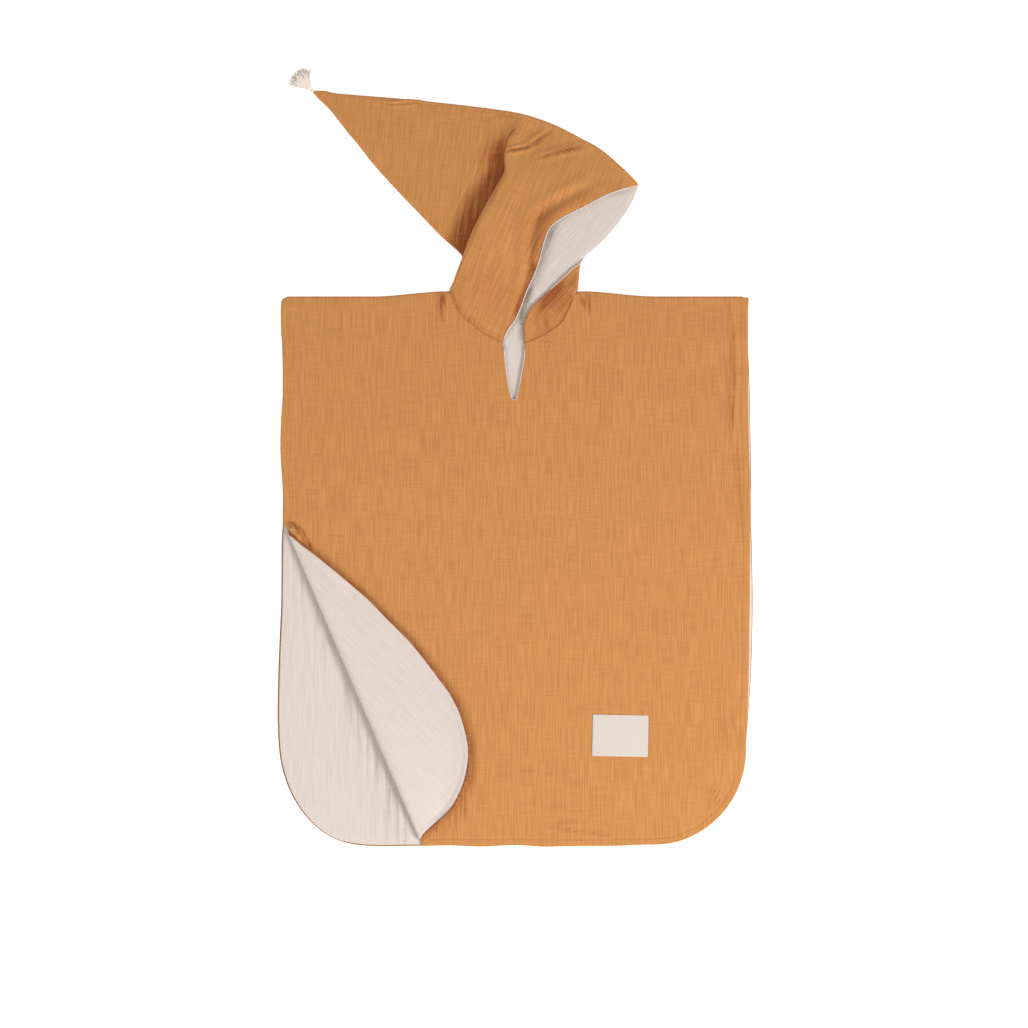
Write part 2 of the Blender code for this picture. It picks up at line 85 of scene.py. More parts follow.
# y, left edge, right edge of the front, right edge of the back
EDGES = np.array([
    (-365, -300.3, 294.3, 294.8),
    (-325, -301.4, 296, 297.6),
    (-283, -300.7, 297.6, 300.6),
    (-232, -298.8, 298.3, 302.5),
    (-182, -296.7, 298.8, 303.1),
    (-110, -296.2, 299.6, 301.9),
    (-80, -294.6, 300.2, 300.8),
    (-50, -294.3, 300.3, 300.7),
    (-20, -295.8, 299.2, 301.1),
    (12, -297.5, 298, 300.5),
    (48, -296.6, 297.3, 300),
    (83, -294.5, 296.8, 299.2),
    (114, -294.6, 297.4, 298.4),
    (144, -295.4, 296.7, 297),
    (164, -296.8, 296.8, 297.1),
    (184, -297, 297, 297.3),
    (199, -296.3, 297.8, 298),
    (204, -293, 298, 298.2),
])
RIB_HEIGHT = 0.55
CROSS_HEIGHT = 0.2
HEM_WAVE = 1.6
HEM_WAVE_REACH = 45.0
SWELL_HEIGHT = 0.9
# width and height of the cells of the random fields that these follow
RIB_CELL, STRONG_CELL, CROSS_CELL = (5.2, 95), (38, 60), (90, 17)
BROAD_CELL, SMALL_CELL, HEM_CELL = (95, 120), (34, 60), 42
SEAM_CRINKLE = 0.1
SEAM_REACH = 7.0
# share of the crinkle on a cloth that lies hidden
HIDDEN = 0.15


def bell(away):
    """Smooth peak of 1, which has gone at about 2 on either side."""
    return np.exp(-away ** 2)


def ease(part):
    """Smooth run from 0 to 1."""
    part = np.clip(part, 0.0, 1.0)
    return part * part * (3 - 2 * part)


def flow(at, knots, values):
    """Smooth curve through the rows of a table, which never runs past them."""
    at = np.clip(np.atleast_1d(at), knots[0], knots[-1])
    values = np.asarray(values, float).reshape(len(knots), -1)
    slopes = np.diff(values, axis=0) / np.diff(knots)[:, None]
    product = slopes[:-1] * slopes[1:]
    total = np.where(product > 0, slopes[:-1] + slopes[1:], 1.0)
    inner = np.where(product > 0, 2 * product / total, 0.0)
    tangents = np.vstack((slopes[:1], inner, slopes[-1:]))
    index = np.clip(np.searchsorted(knots, at, side="right") - 1, 0, len(knots) - 2)
    width = (knots[index + 1] - knots[index])[:, None]
    step = (at - knots[index])[:, None] / width
    start = values[index] * (1 + 2 * step) * (1 - step) ** 2
    end = values[index + 1] * step ** 2 * (3 - 2 * step)
    bend = tangents[index] * step * (1 - step) ** 2 - tangents[index + 1] * step ** 2 * (1 - step)
    return np.squeeze(start + end + bend * width)


def side_at(y, column):
    """Side edge of a body panel at a height: the table, then the round corner."""
    edge = flow(y, EDGES[:, 0], EDGES[:, column])
    wide, tall = LEFT_CORNER if column == 1 else RIGHT_CORNER
    drop = np.clip((HEM_Y + tall - y) / tall, 0.0, 1.0)
    cut = wide * (1 - np.sqrt(1 - drop ** 2))
    return edge + cut if column == 1 else edge - cut


def drawn_in(y, hem_inset, shoulder_inset):
    """A row's height once the hem and the shoulder seam are drawn in."""
    hem = hem_inset * (1 - ease((y - HEM_Y) / EDGE_REACH))
    return y + hem - shoulder_inset * ease((y - SHOULDER_Y) / EDGE_REACH + 1)


def rise_at(x, y):
    """The shoulder seams climb towards the neck."""
    outer, inner = SHOULDER_CLIMBS
    fade = ease((y - SHOULDER_Y + SHOULDER_FADE) / SHOULDER_FADE)
    return SHOULDER_RISE * fade * ease((outer - np.abs(x)) / (outer - inner))


def field(u, v, seed):
    """Smooth random field from -1 to 1, with a cell to each unit of u and of v."""
    cells = np.random.default_rng(seed).uniform(-1.0, 1.0, (256, 256))
    column, row = np.floor(u).astype(int), np.floor(v).astype(int)
    s, t = ease(u - column), ease(v - row)
    near = cells[column % 256, row % 256] * (1 - s) + cells[(column + 1) % 256, row % 256] * s
    row = row + 1
    far = cells[column % 256, row % 256] * (1 - s) + cells[(column + 1) % 256, row % 256] * s
    return near * (1 - t) + far * t


def rib_field(u, v):
    """The straight upright ribs of the crinkle, from 0 to 1."""
    return np.abs(field(u / RIB_CELL[0], v / RIB_CELL[1], 12))


def crinkle(u, v):
    """Height of the gauze's crinkle: its ribs, which come and go, and fainter cross waves."""
    strong = 0.6 + 0.4 * field(u / STRONG_CELL[0], v / STRONG_CELL[1], 13)
    across = np.abs(field(u / CROSS_CELL[0], v / CROSS_CELL[1], 15))
    return RIB_HEIGHT * rib_field(u, v) * strong + CROSS_HEIGHT * across


def swell(x, y):
    """Low waves in the plan, that all the layers share."""
    broad = 0.5 + 0.5 * field(x / BROAD_CELL[0] + 7, y / BROAD_CELL[1] + 3, 21)
    small = 0.5 + 0.5 * field(x / SMALL_CELL[0], y / SMALL_CELL[1], 22)
    return SWELL_HEIGHT * (0.8 * broad + 0.2 * small)


def hem_wave(x, y):
    """How far the hem strays from straight, at most at the hem itself."""
    fade = 1 - ease((y - HEM_Y) / HEM_WAVE_REACH)
    return HEM_WAVE * field(x / HEM_CELL + 5, 0.0 * x, 23) * fade


def sew_grids(grids):
    """Lays out the grids of one cloth and merges what meets. Each point keeps its place in
    the flat cut and its share of the waves."""
    mesh = bmesh.new()
    flat = mesh.verts.layers.float_vector.new("flat")
    # the fold layer carries painted shade to the material
    mesh.verts.layers.float.new("fold")
    for points, cut, share in grids:
        rows, columns = points.shape[:2]
        made = bmesh.ops.create_grid(mesh, x_segments=columns - 1, y_segments=rows - 1, size=1.0)
        share = np.broadcast_to(share, points.shape[:2]).reshape(-1)
        places = zip(made["verts"], points.reshape(-1, 3), cut.reshape(-1, 2), share)
        for vert, place, (u, v), part in places:
            vert.co = place * MM
            vert[flat] = Vector((u, v, part))
    bmesh.ops.remove_doubles(mesh, verts=mesh.verts, dist=MERGE)
    mesh.normal_update()
    return mesh


def grooves(cut, gain, start):
    """How much painted shade the grooves between the ribs take, from 0 to 1."""
    return np.clip(gain * (1 - rib_field(cut[:, 0], cut[:, 1])) - start, 0.0, 1.0)


def wave_cloth(mesh, ribbed, settle=None, shade=None):
    """Raises the crinkle and the waves in a cloth. The crinkle is flatter along the sewn
    edges, and ribbed gives its share at each place in the flat cut. shade gives, from 0 to 1,
    the painted shade of each place deep in a fold, kept in the fold attribute."""
    flat = mesh.verts.layers.float_vector["flat"]
    fold = mesh.verts.layers.float["fold"]
    places = np.array([vert.co for vert in mesh.verts]) / MM
    cut = np.array([vert[flat] for vert in mesh.verts])
    edge = [vert for vert in mesh.verts if vert.is_boundary]
    tree = KDTree(len(edge))
    for index, vert in enumerate(edge):
        tree.insert((*vert[flat].xy, 0.0), index)
    tree.balance()
    near = np.array([tree.find((u, v, 0.0))[2] for u, v in cut[:, :2]])
    seam = SEAM_CRINKLE + (1 - SEAM_CRINKLE) * ease((near - 1.0) / SEAM_REACH)
    lift = crinkle(cut[:, 0], cut[:, 1]) * seam * ribbed(cut, places)
    lift = lift + swell(places[:, 0], places[:, 1]) * cut[:, 2]
    if settle is not None:
        lift = settle(places, near, lift)
    strayed = hem_wave(places[:, 0], places[:, 1])
    deep = np.zeros(len(places)) if shade is None else np.clip(shade(cut, places, near), 0.0, 1.0)
    for vert, height, stray, part in zip(mesh.verts, lift, strayed, deep):
        vert.co.z += height * MM
        vert.co.y += stray * MM
        # painted shade, which the material mixes into the colour
        vert[fold] = part
    mesh.normal_update()


def turn_edge(mesh, roll_of, steps=4):
    """Rolls a cloth's edges over to its hidden side. roll_of gives the half width, the half
    height and the angle at a place on the edge, or none where the edge stays."""
    along = {}
    for edge in mesh.edges:
        if edge.is_boundary:
            loop = edge.link_loops[0]
            run = (loop.link_loop_next.vert.co - loop.vert.co).normalized()
            for vert in edge.verts:
                along[vert] = along.get(vert, Vector()) + run
    rolls = {}
    for vert, run in along.items():
        roll = roll_of(*(vert.co / MM))
        if roll is not None:
            outward = run.normalized().cross(vert.normal)
            rolls[vert] = (*roll, vert.co.copy(), vert.normal.copy(), outward)
    edges = [edge for edge in mesh.edges
             if edge.is_boundary and all(vert in rolls for vert in edge.verts)]
    for step in range(1, steps + 1):
        made = bmesh.ops.extrude_edge_only(mesh, edges=edges)["geom"]
        edges = [item for item in made if isinstance(item, bmesh.types.BMEdge)]
        turned = {}
        for vert in [item for item in made if isinstance(item, bmesh.types.BMVert)]:
            others = [edge.other_vert(vert) for edge in vert.link_edges]
            roll = next(rolls[other] for other in others if other in rolls)
            wide, high, angle, start, normal, outward = roll
            turn = math.radians(angle) * step / steps
            down = normal * (1 - math.cos(turn)) * high
            vert.co = start + (outward * math.sin(turn) * wide - down) * MM
            turned[vert] = roll
        rolls = turned
    mesh.normal_update()


def add_piece(name, mesh, material):
    """Makes the object of a mesh, smooth all over."""
    for face in mesh.faces:
        face.smooth = True
    data = bpy.data.meshes.new(name)
    mesh.to_mesh(data)
    mesh.free()
    data.materials.append(material)
    piece = bpy.data.objects.new(name, data)
    bpy.context.scene.collection.objects.link(piece)
    return piece


def add_cloth(name, mesh, material, wall=WALL):
    """Makes the object of a cloth, with its flat cut as a UV map, and gives it its wall."""
    flat = mesh.verts.layers.float_vector["flat"]
    layer = mesh.loops.layers.uv.new("cut")
    for face in mesh.faces:
        for loop in face.loops:
            loop[layer].uv = loop.vert[flat].xy * MM
    piece = add_piece(name, mesh, material)
    shell = piece.modifiers.new("Wall", "SOLIDIFY")
    shell.thickness = wall * MM
    shell.offset = 0.0
    return piece


def finish_cloth(name, mesh, material, ribbed, roll_of, settle=None, shade=None, flipped=False):
    """Waves a sewn cloth, turns its edges and makes its object. The side that shows faces up,
    or down if the cloth is flipped. ribbed(cut, places), settle(places, near, lift) and
    shade(cut, places, near) take all its points at once, and roll_of(x, y, z) takes one."""
    wave_cloth(mesh, ribbed, settle, shade)
    if flipped:
        bmesh.ops.reverse_faces(mesh, faces=mesh.faces)
        mesh.normal_update()
    turn_edge(mesh, roll_of)
    return add_cloth(name, mesh, material)


def linear(code):
    """Linear colour from an sRGB hex value."""
    parts = [int(code[i:i + 2], 16) / 255 for i in (1, 3, 5)]
    return (*[c / 12.92 if c <= 0.04045 else ((c + 0.055) / 1.055) ** 2.4 for c in parts], 1.0)


def new_material(name):
    """A material, with its tree of nodes and its shader."""
    material = bpy.data.materials.new(name)
    material.use_nodes = True
    return material, material.node_tree, material.node_tree.nodes["Principled BSDF"]


def set_inputs(tree, node, inputs):
    """Links or sets the inputs of a node."""
    for key, value in inputs.items():
        if isinstance(value, bpy.types.NodeSocket):
            tree.links.new(value, node.inputs[key])
        else:
            node.inputs[key].default_value = value


def add_node(tree, kind, inputs, output=0, **settings):
    """Adds a shader node with its settings and its inputs, and gives one of its outputs."""
    node = tree.nodes.new("ShaderNode" + kind)
    for key, value in settings.items():
        setattr(node, key, value)
    set_inputs(tree, node, inputs)
    return node.outputs[output]


# across the ribs and along them, in millimetres, and detail. The threads are really
# 0.6 mm apart, and are drawn at 1.2 mm so that they show.
GAUZE_FIELDS = {
    "ribs": (1.7, 38.0, 0.0),
    "cross": (30.0, 1.7, 0.0),
    "rib_parts": (8.0, 60.0, 0.0),
    "cross_parts": (50.0, 9.0, 0.0),
    "lines": (3.4, 80.0, 0.0),
    "patches": (120.0, 160.0, 2.0),
    "threads": (1.2, 2.4, 0.0),
}
# each crinkle, the field that says where it is strong, and its share
CRINKLES = (("ribs", "rib_parts", 1.2), ("cross", "cross_parts", 0.5))
LINE_WIDTH = 0.05
LINE_DEPTH = 0.16
THREAD_DEPTH = 0.12
CRINKLE_RANGE = (-0.30, 0.22)


def double_gauze(name, dark, light, groove_shade, deep):
    """Washed cotton double gauze: matt and soft, crinkled into fine straight lines a few
    millimetres apart both ways, which come and go, in a loose weave that catches little light.
    Painted shade darkens the grooves of its crinkle, and a deeper, warmer painted shade fills
    its folds, seams and creases, for the light that the cloth throws on itself there."""
    material, tree, shader = new_material(name)
    cut = add_node(tree, "UVMap", {}, uv_map="cut")
    noise = {}
    for title, (across, along, detail) in GAUZE_FIELDS.items():
        scale = (1 / (across * MM), 1 / (along * MM), 1.0)
        place = add_node(tree, "Mapping", {"Vector": cut, "Scale": scale})
        inputs = {"Vector": place, "Scale": 1.0, "Detail": detail}
        noise[title] = add_node(tree, "TexNoise", inputs, noise_dimensions="2D")
    height = 0.0
    for title, where, share in CRINKLES:
        inputs = {"Value": noise[where],
                  "From Min": 0.35, "From Max": 0.65, "To Min": 0.5 * share, "To Max": share}
        strong = add_node(tree, "MapRange", inputs)
        apart = add_node(tree, "Math", {0: noise[title], 1: 0.5}, operation="SUBTRACT")
        inputs = {0: apart, 1: strong, 2: height}
        height = add_node(tree, "Math", inputs, operation="MULTIPLY_ADD")
    apart = add_node(tree, "Math", {0: noise["lines"], 1: 0.5}, operation="SUBTRACT")
    apart = add_node(tree, "Math", {0: apart}, operation="ABSOLUTE")
    inputs = {"Value": apart, "From Max": LINE_WIDTH, "To Min": -LINE_DEPTH, "To Max": 0.0}
    line = add_node(tree, "MapRange", inputs)
    height = add_node(tree, "Math", {0: height, 1: line}, operation="ADD")
    inputs = {0: noise["threads"], 1: THREAD_DEPTH, 2: height}
    relief = add_node(tree, "Math", inputs, operation="MULTIPLY_ADD")
    inputs = {"Height": relief, "Distance": 0.32 * MM, "Strength": 0.6}
    bump = add_node(tree, "Bump", inputs)
    inputs = {0: noise["patches"], 6: linear(dark), 7: linear(light)}
    tone = add_node(tree, "Mix", inputs, 2, data_type="RGBA")
    # painted shade: the low parts of the crinkle take the darker groove colour
    inputs = {"Value": height, "From Min": CRINKLE_RANGE[0], "From Max": CRINKLE_RANGE[1]}
    part = add_node(tree, "MapRange", inputs)
    inputs = {0: part, 6: linear(groove_shade), 7: tone}
    colour = add_node(tree, "Mix", inputs, 2, data_type="RGBA")
    # painted shade: the fold attribute mixes the deep colour into folds, seams and creases, more in the
    # crinkle's grooves
    fold = add_node(tree, "Attribute", {}, "Fac", attribute_name="fold")
    uneven = add_node(tree, "MapRange", {"Value": part, "To Min": 1.3, "To Max": 0.7})
    inputs = {0: fold, 1: uneven}
    fold = add_node(tree, "Math", inputs, operation="MULTIPLY", use_clamp=True)
    inputs = {0: fold, 6: colour, 7: linear(deep)}
    colour = add_node(tree, "Mix", inputs, 2, data_type="RGBA")
    set_inputs(tree, shader, {
        "Base Color": colour, "Normal": bump, "Roughness": 0.92, "Specular IOR Level": 0.25,
        "Sheen Weight": 0.12, "Sheen Roughness": 0.6,
    })
    return material


# the last two colours of each gauze are painted shade: in the crinkle's grooves, and in folds, seams and
# creases
ochre_gauze = double_gauze("ochre_cotton_double_gauze", "#ca8a4d", "#cd8d4f", "#bd7e45", "#9a5020")
cream_gauze = double_gauze("cream_cotton_double_gauze", "#d8cac1", "#dacdc4", "#d2c5bb", "#968475")

# the left third is finer, because the lining lies bare there
BACK_COLUMNS = np.concatenate((np.arange(0.0, 0.42, 0.0028), np.linspace(0.42, 1.0, 50)))
BACK_ROWS = np.concatenate((
    HEM_Y + 140.0 * (1 - np.cos(np.radians(np.arange(0.0, 90.0, 3.0)))),
    np.arange(-354.0, -80.0, 6.5),
    np.linspace(-80.0, SHOULDER_Y, 25),
))
LINING_SEAM = 0.5
FOLD_TOP = np.array((-289.2, -92.8))
FOLD_FOOT = np.array((-118.8, -490.6))
FOLD_ALONG = (FOLD_FOOT - FOLD_TOP) / np.linalg.norm(FOLD_FOOT - FOLD_TOP)
FOLD_ACROSS = np.array((-FOLD_ALONG[1], FOLD_ALONG[0]))
FOLD_LENGTH = 430.0
BARE_FADE = 12.0
# how far the rolled corner gathers the back's cloth at its top, and how much further at the hem
GATHER_REACH, GATHER_SPREAD = 10.0, 16.0
GATHERED_RIBS = 4.0


def back_grid(level, inset, peek, shoulder_inset, neck_inset, share):
    """The back panel as one grid from the hem to the shoulders and the dip of the neck. Its
    right-hand edge is drawn in by peek, the others by their insets."""
    rows = []
    for y in BACK_ROWS:
        left = side_at(y, 1) + inset
        right = side_at(y, 3) - peek
        x = left + (right - left) * BACK_COLUMNS
        part = np.clip((x - NECK_LEFT) / (NECK_RIGHT - NECK_LEFT), 0.0, 1.0)
        reach = ease((y - SHOULDER_Y) / NECK_REACH + 1)
        dip = 4 * NECK_DEPTH * part * (1 - part) * reach
        at_neck = ease((NECK_RIGHT + NECK_FADE - np.abs(x)) / NECK_FADE)
        top_inset = shoulder_inset + (neck_inset - shoulder_inset) * at_neck
        place = drawn_in(y, inset, top_inset) + rise_at(x, y) - dip
        rows.append(np.stack((x, place, np.full_like(x, level)), axis=1))
    points = np.array(rows)
    return points, points[:, :, :2], share(points)


def bared(points):
    """How far the back lining lies bare, left of the fold of the front's corner."""
    return ease(-(points[..., :2] - FOLD_TOP) @ FOLD_ACROSS / BARE_FADE)


def gathered(cut):
    """How far the rolled corner draws the back's cloth together, which widens to the hem."""
    out = cut[:, :2] - FOLD_TOP
    reach = GATHER_REACH + GATHER_SPREAD * ease(out @ FOLD_ALONG / FOLD_LENGTH)
    return bell(out @ FOLD_ACROSS / reach)


def back_ribs(cut, places):
    """The bare lining's ribs, deeper beside the rolled corner."""
    return bared(places) * (1.0 + GATHERED_RIBS * gathered(cut))


def strokes(places, table):
    """How far each place is from each line of a table, in its half widths, with the line's
    depth and how it fades towards its ends."""
    for x0, y0, x1, y1, width, deep in table:
        start, run = np.array((x0, y0)), np.array((x1 - x0, y1 - y0))
        part = np.clip((places[:, :2] - start) @ run / (run @ run), 0.0, 1.0)
        apart = np.linalg.norm(places[:, :2] - start - part[:, None] * run, axis=1) / width
        yield apart, deep, 0.35 + 0.65 * np.sin(np.pi * part)


def shaded(places, table):
    """How much painted shade the lines of a table put at each place."""
    return sum(max(deep, 0.0) * bell(apart) * fade for apart, deep, fade in strokes(places, table))


def seam_shade(near):
    """Painted shade on a cloth right along a seam."""
    return 0.4 * bell(near)


# x and y of both ends, half width, depth of the painted shade
NECK_SHADES = (
    (13, 196, 8.5, 172, 4.4, 1.5),
    (8.5, 176, 10.5, 146, 3.4, 0.8),
)


def back_shade(cut, places, near):
    """Painted shade on the lining: under the hood's edge, and in the grooves beside the rolled corner."""
    roll = bared(places) * gathered(cut) * grooves(cut, 3.0, 1.9)
    return 0.6 * roll + shaded(places, NECK_SHADES)


def lining_neck_roll(x, y, z):
    """A lining's neckline rolls down into its seam with the hood's lining."""
    return (LINING_SEAM, LINING_SEAM, 90.0) if y > NECK_EDGE and abs(x) < NECK_HALF else None


def back_edge_roll(x, y, z):
    """The back's edges roll up over its lining, and its shoulders up to the front's."""
    if y > NECK_EDGE and abs(x) < NECK_HALF:
        return NECK_ROLL, NECK_ROLL, 90.0
    if y > SHOULDER_EDGE and abs(x) < SHOULDER_HALF:
        return CLOSED_ROLL, CLOSED_ROLL, 90.0
    if x > RIGHT_SIDE:
        return PEEK_ROLL, SEAM_ROLL, 180.0
    return SEAM_ROLL, SEAM_ROLL, 180.0


panel = back_grid(BACK_LEVEL, SEAM_ROLL, PEEK_ROLL, CLOSED_ROLL, NECK_ROLL, lambda points: HIDDEN)
back_gauze = finish_cloth("back_gauze", sew_grids([panel]), ochre_gauze,
                          lambda cut, places: HIDDEN, back_edge_roll, flipped=True)
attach(back_gauze, "root")
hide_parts("back_outer")

panel = back_grid(LINING_LEVEL, LINING_INSET, PEEK_INSET, LINING_INSET, LINING_SEAM,
                  lambda points: 0.4 + 0.5 * bared(points))
back_lining_gauze = finish_cloth("back_lining_gauze", sew_grids([panel]), cream_gauze,
                                 back_ribs, lining_neck_roll, shade=back_shade)
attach(back_lining_gauze, "root")
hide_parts("back_lining")

# ---------------------------------------------------------------------------------------
# Front panel. The same two cloths, with a short slit below the neck, whose cream lining
# rolls outwards as a fine edge. The lower left corner is turned up in a soft roll, so its
# lining shows, and the rest lies on the back panel.

# y, left side of the neckline and slit, right side
OPENING = np.array([
    (72.4, 0, 0),
    (72.9, -2.2, 1.8),
    (74.6, -3.7, 3),
    (81, -5.6, 4.6),
    (108, -10.8, 9.5),
    (133, -13.3, 13.3),
    (145, -14.6, 13.3),
    (147, -20, 20),
    (151, -29, 29),
    (158, -40.5, 43),
    (170, -55.5, 59),
    (186, -72, 69),
    (210.5, -83, 80),
])
SLIT_FOOT = 72.4
NECK_FOOT = 145.0
NECK_START = list(OPENING[:, 0]).index(NECK_FOOT)
SLIT_INSET = 1.0
NECK_INSETS = (0.8, 1.8)
TOP_FADE = 14.0
PIPING_ROLL = 0.75
# distance along the fold, cloth past the start of the roll, radius of the roll, ochre rim
FLAP = np.array([
    (0, 0, 2.2, 0.8),
    (3, 1.7, 2.2, 0.8),
    (6, 3.5, 2.2, 1),
    (9, 5.4, 2.2, 1.2),
    (12, 7.5, 2.2, 1.4),
    (17, 10.4, 2.2, 1.6),
    (23, 13.4, 2.2, 1.8),
    (47, 29.6, 3.2, 1.8),
    (79, 48.4, 4.2, 1.8),
    (118, 69.1, 4.8, 1.8),
    (158, 85.3, 5, 1.8),
    (198, 100.9, 5, 1.9),
    (249, 114.4, 5, 2),
    (281, 121.1, 5, 2.1),
    (298, 121.9, 4.9, 2.3),
    (315, 120.4, 4.8, 2.4),
    (338, 116.1, 4.6, 2.6),
    (354, 110.5, 4.4, 2.9),
    (365, 104.2, 4.2, 3.2),
    (376, 96.6, 3.9, 3.5),
    (387, 86.7, 3.6, 3.7),
    (395.5, 77.1, 3.3, 3.8),
    (405, 63.8, 3, 3.8),
    (412, 49.1, 2.8, 3.6),
    (418, 30.4, 2.5, 3.2),
    (424, 12, 2.4, 2.4),
    (426, 8, 2.4, 2),
    (427.5, 5.8, 2.4, 1.6),
    (429, 3.8, 2.4, 1.2),
    (430.5, 1.9, 2.4, 0.9),
    (432, 0, 2.4, 0.8),
])
WIDEST_FLAP = 121.9
RIM_HEIGHT = 1.0
RIM_LAP = 0.2
FLAP_REST = 1.6
FLAP_LIFT = 4.0
FLAP_SETTLES = 50.0
# heights that part the flat panel from the turned corner
BODY_TOP = FRONT_LEVEL + 0.2
FLAP_FOOT = FRONT_LEVEL + 1.0
ROLL_OFFSET = LAYER + 0.5
ROLL_COLUMNS = 8
HEM_ROWS = HEM_Y + np.array((0.0, 0.3, 0.9, 1.8, 3.0))
PLAIN_ROWS = np.concatenate((np.arange(-90.5, -70.0, 2.2), np.linspace(-68.0, 68.0, 20)))
NECK_ROWS = np.array((
    72.4, 72.9, 74.6, 77.5, 81.0, 87.0, 94.0, 101.0, 108.0, 115.0, 121.0, 127.0, 133.0, 139.0, 145.0,
    147.0, 149.0, 151.0, 154.5, 158.0, 162.0, 166.0, 170.0, 175.0, 180.5, 186.0, 190.0,
    193.0, 196.0, 198.5, 201.0, SHOULDER_Y,
))


def raised(plan, height):
    """Places in the plan, with their heights."""
    return np.column_stack((plan, np.broadcast_to(height, len(plan))))


def flap_points(flap, out, columns, drawn=None):
    """The turned corner and its roll at one place on the fold, from the free edge, with
    their places in the flat cut. The outer layer's edge is left room to roll over the
    lining's, unless the edge is drawn in by a given amount."""
    whole, radius, rim = flow(flap, FLAP[:, 0], FLAP[:, 1:])
    rim = (rim - RIM_LAP * (out > 0)) if drawn is None else drawn
    half_turn = math.pi * radius
    past = whole - rim if whole - rim > half_turn else whole
    width = max(whole - half_turn, 0.0)
    part = np.linspace(1.0, 0.0, columns + 1)[:-1]
    around = np.linspace(1.0, 0.0, ROLL_COLUMNS + 1) * min(past, half_turn)
    reach = np.append(part * max(past - half_turn, 0.0), np.zeros(ROLL_COLUMNS + 1))
    around = np.append(np.full(columns, min(past, half_turn)), around)
    angle = around / radius
    across = reach - (radius + out) * np.sin(angle)
    height = FRONT_LEVEL + radius - (radius + out) * np.cos(angle)
    share = reach / max(width, 1.0)
    fall = (2 * radius - FLAP_REST) * min(width / FLAP_SETTLES, 1.0)
    height += FLAP_LIFT * share ** 4 * whole / WIDEST_FLAP - fall * ease(share / 0.8)
    axis = FOLD_TOP + FOLD_ALONG * flap + FOLD_ACROSS * (radius + ROLL_OFFSET)
    points = raised(axis + across[:, None] * FOLD_ACROSS, height)
    return points, axis - FOLD_ACROSS * (around + reach)[:, None]


def front_row(y, flap, inset, out, flap_columns, left_columns, right_columns):
    """One row of the front panel: its left half with the turned corner, and its right."""
    level = FRONT_LEVEL - out
    place = drawn_in(y, inset, inset if out else CLOSED_ROLL)
    mouth = flow(y, OPENING[:, 0], OPENING[:, 1:])
    if y == SHOULDER_Y:
        mouth = OPENING[-1, 1:].copy()
    if y > NECK_FOOT:
        mouth += np.array((-1.0, 1.0)) * NECK_INSETS[out > 0]
        mouth[1] -= CLOSED_ROLL * ease((y - NECK_FOOT) / (SHOULDER_Y - NECK_FOOT))
    elif y > SLIT_FOOT:
        mouth += np.array((-1.0, 1.0)) * (0.0 if out else SLIT_INSET)
    mouth = min(mouth[0], 0.0), max(mouth[1], 0.0)
    if flap is None:
        slope = FOLD_ALONG[0] / FOLD_ALONG[1]
        line = FOLD_FOOT[0] + slope * (y - FOLD_FOOT[1])
        if y > FOLD_TOP[1]:
            line = side_at(y, 1)
            line += (FOLD_TOP[0] - line) * (1 - ease((y - FOLD_TOP[1]) / TOP_FADE))
        start = np.array((line + inset, place, level))
        turned = np.tile(start, (flap_columns + ROLL_COLUMNS, 1))
        turned_cut = turned[:, :2]
    else:
        turned, turned_cut = flap_points(flap, out, flap_columns)
        start, turned, turned_cut = turned[-1], turned[:-1], turned_cut[:-1]
    part = np.linspace(0.0, 1.0, left_columns + 1)[:, None]
    left = start + (np.array((mouth[0], place, level)) - start) * part
    left[:, 1] += rise_at(left[:, 0], y)
    x = np.linspace(mouth[1], side_at(y, 2) - inset, right_columns + 1)
    right = raised(np.column_stack((x, place + rise_at(x, y))), level)
    return np.vstack((turned, left)), np.vstack((turned_cut, left[:, :2])), right


def front_grids(inset, out, flap_rows, columns, share):
    """The front panel's left and right halves, merged below the slit."""
    rows = [(y, None) for y in HEM_ROWS]
    rows += [(FOLD_TOP[1] + FOLD_ALONG[1] * flap, flap) for flap in flap_rows[::-1]]
    rows += [(y, None) for y in np.concatenate((PLAIN_ROWS, NECK_ROWS))]
    made = [front_row(y, flap, inset, out, *columns) for y, flap in rows]
    left, cut, right = (np.array(part) for part in zip(*made))
    return [(left, cut, share), (right, right[:, :, :2], share)]


def front_edge_roll(x, y, z):
    """The front's edges roll under to its lining all the way, its shoulders down to the
    back's, and its neckline down into the seam with the hood. The turned corner's edge is a
    flat rim."""
    if y > SHOULDER_EDGE and NECK_HALF < abs(x) < SHOULDER_HALF:
        return CLOSED_ROLL, CLOSED_ROLL, 90.0
    if y > SLIT_FOOT - 2 and abs(x) < NECK_HALF:
        return NECK_ROLL, NECK_ROLL, 90.0
    along, across = (np.array((x, y)) - FOLD_TOP) @ np.column_stack((FOLD_ALONG, FOLD_ACROSS))
    if 0.0 < along < FOLD_LENGTH and across > 2.0 and z > FLAP_FOOT:
        return flow(along, FLAP[:, 0], FLAP[:, 3]), RIM_HEIGHT, 180.0
    return SEAM_ROLL, SEAM_ROLL, 180.0


def slit_roll(x, y, z):
    """Only the lining's edge at the slit rolls, outwards over the outer's."""
    if SLIT_FOOT - 1 < y < NECK_FOOT - 1 and abs(x) < 20.0:
        return PIPING_ROLL, PIPING_ROLL, 200.0
    return None


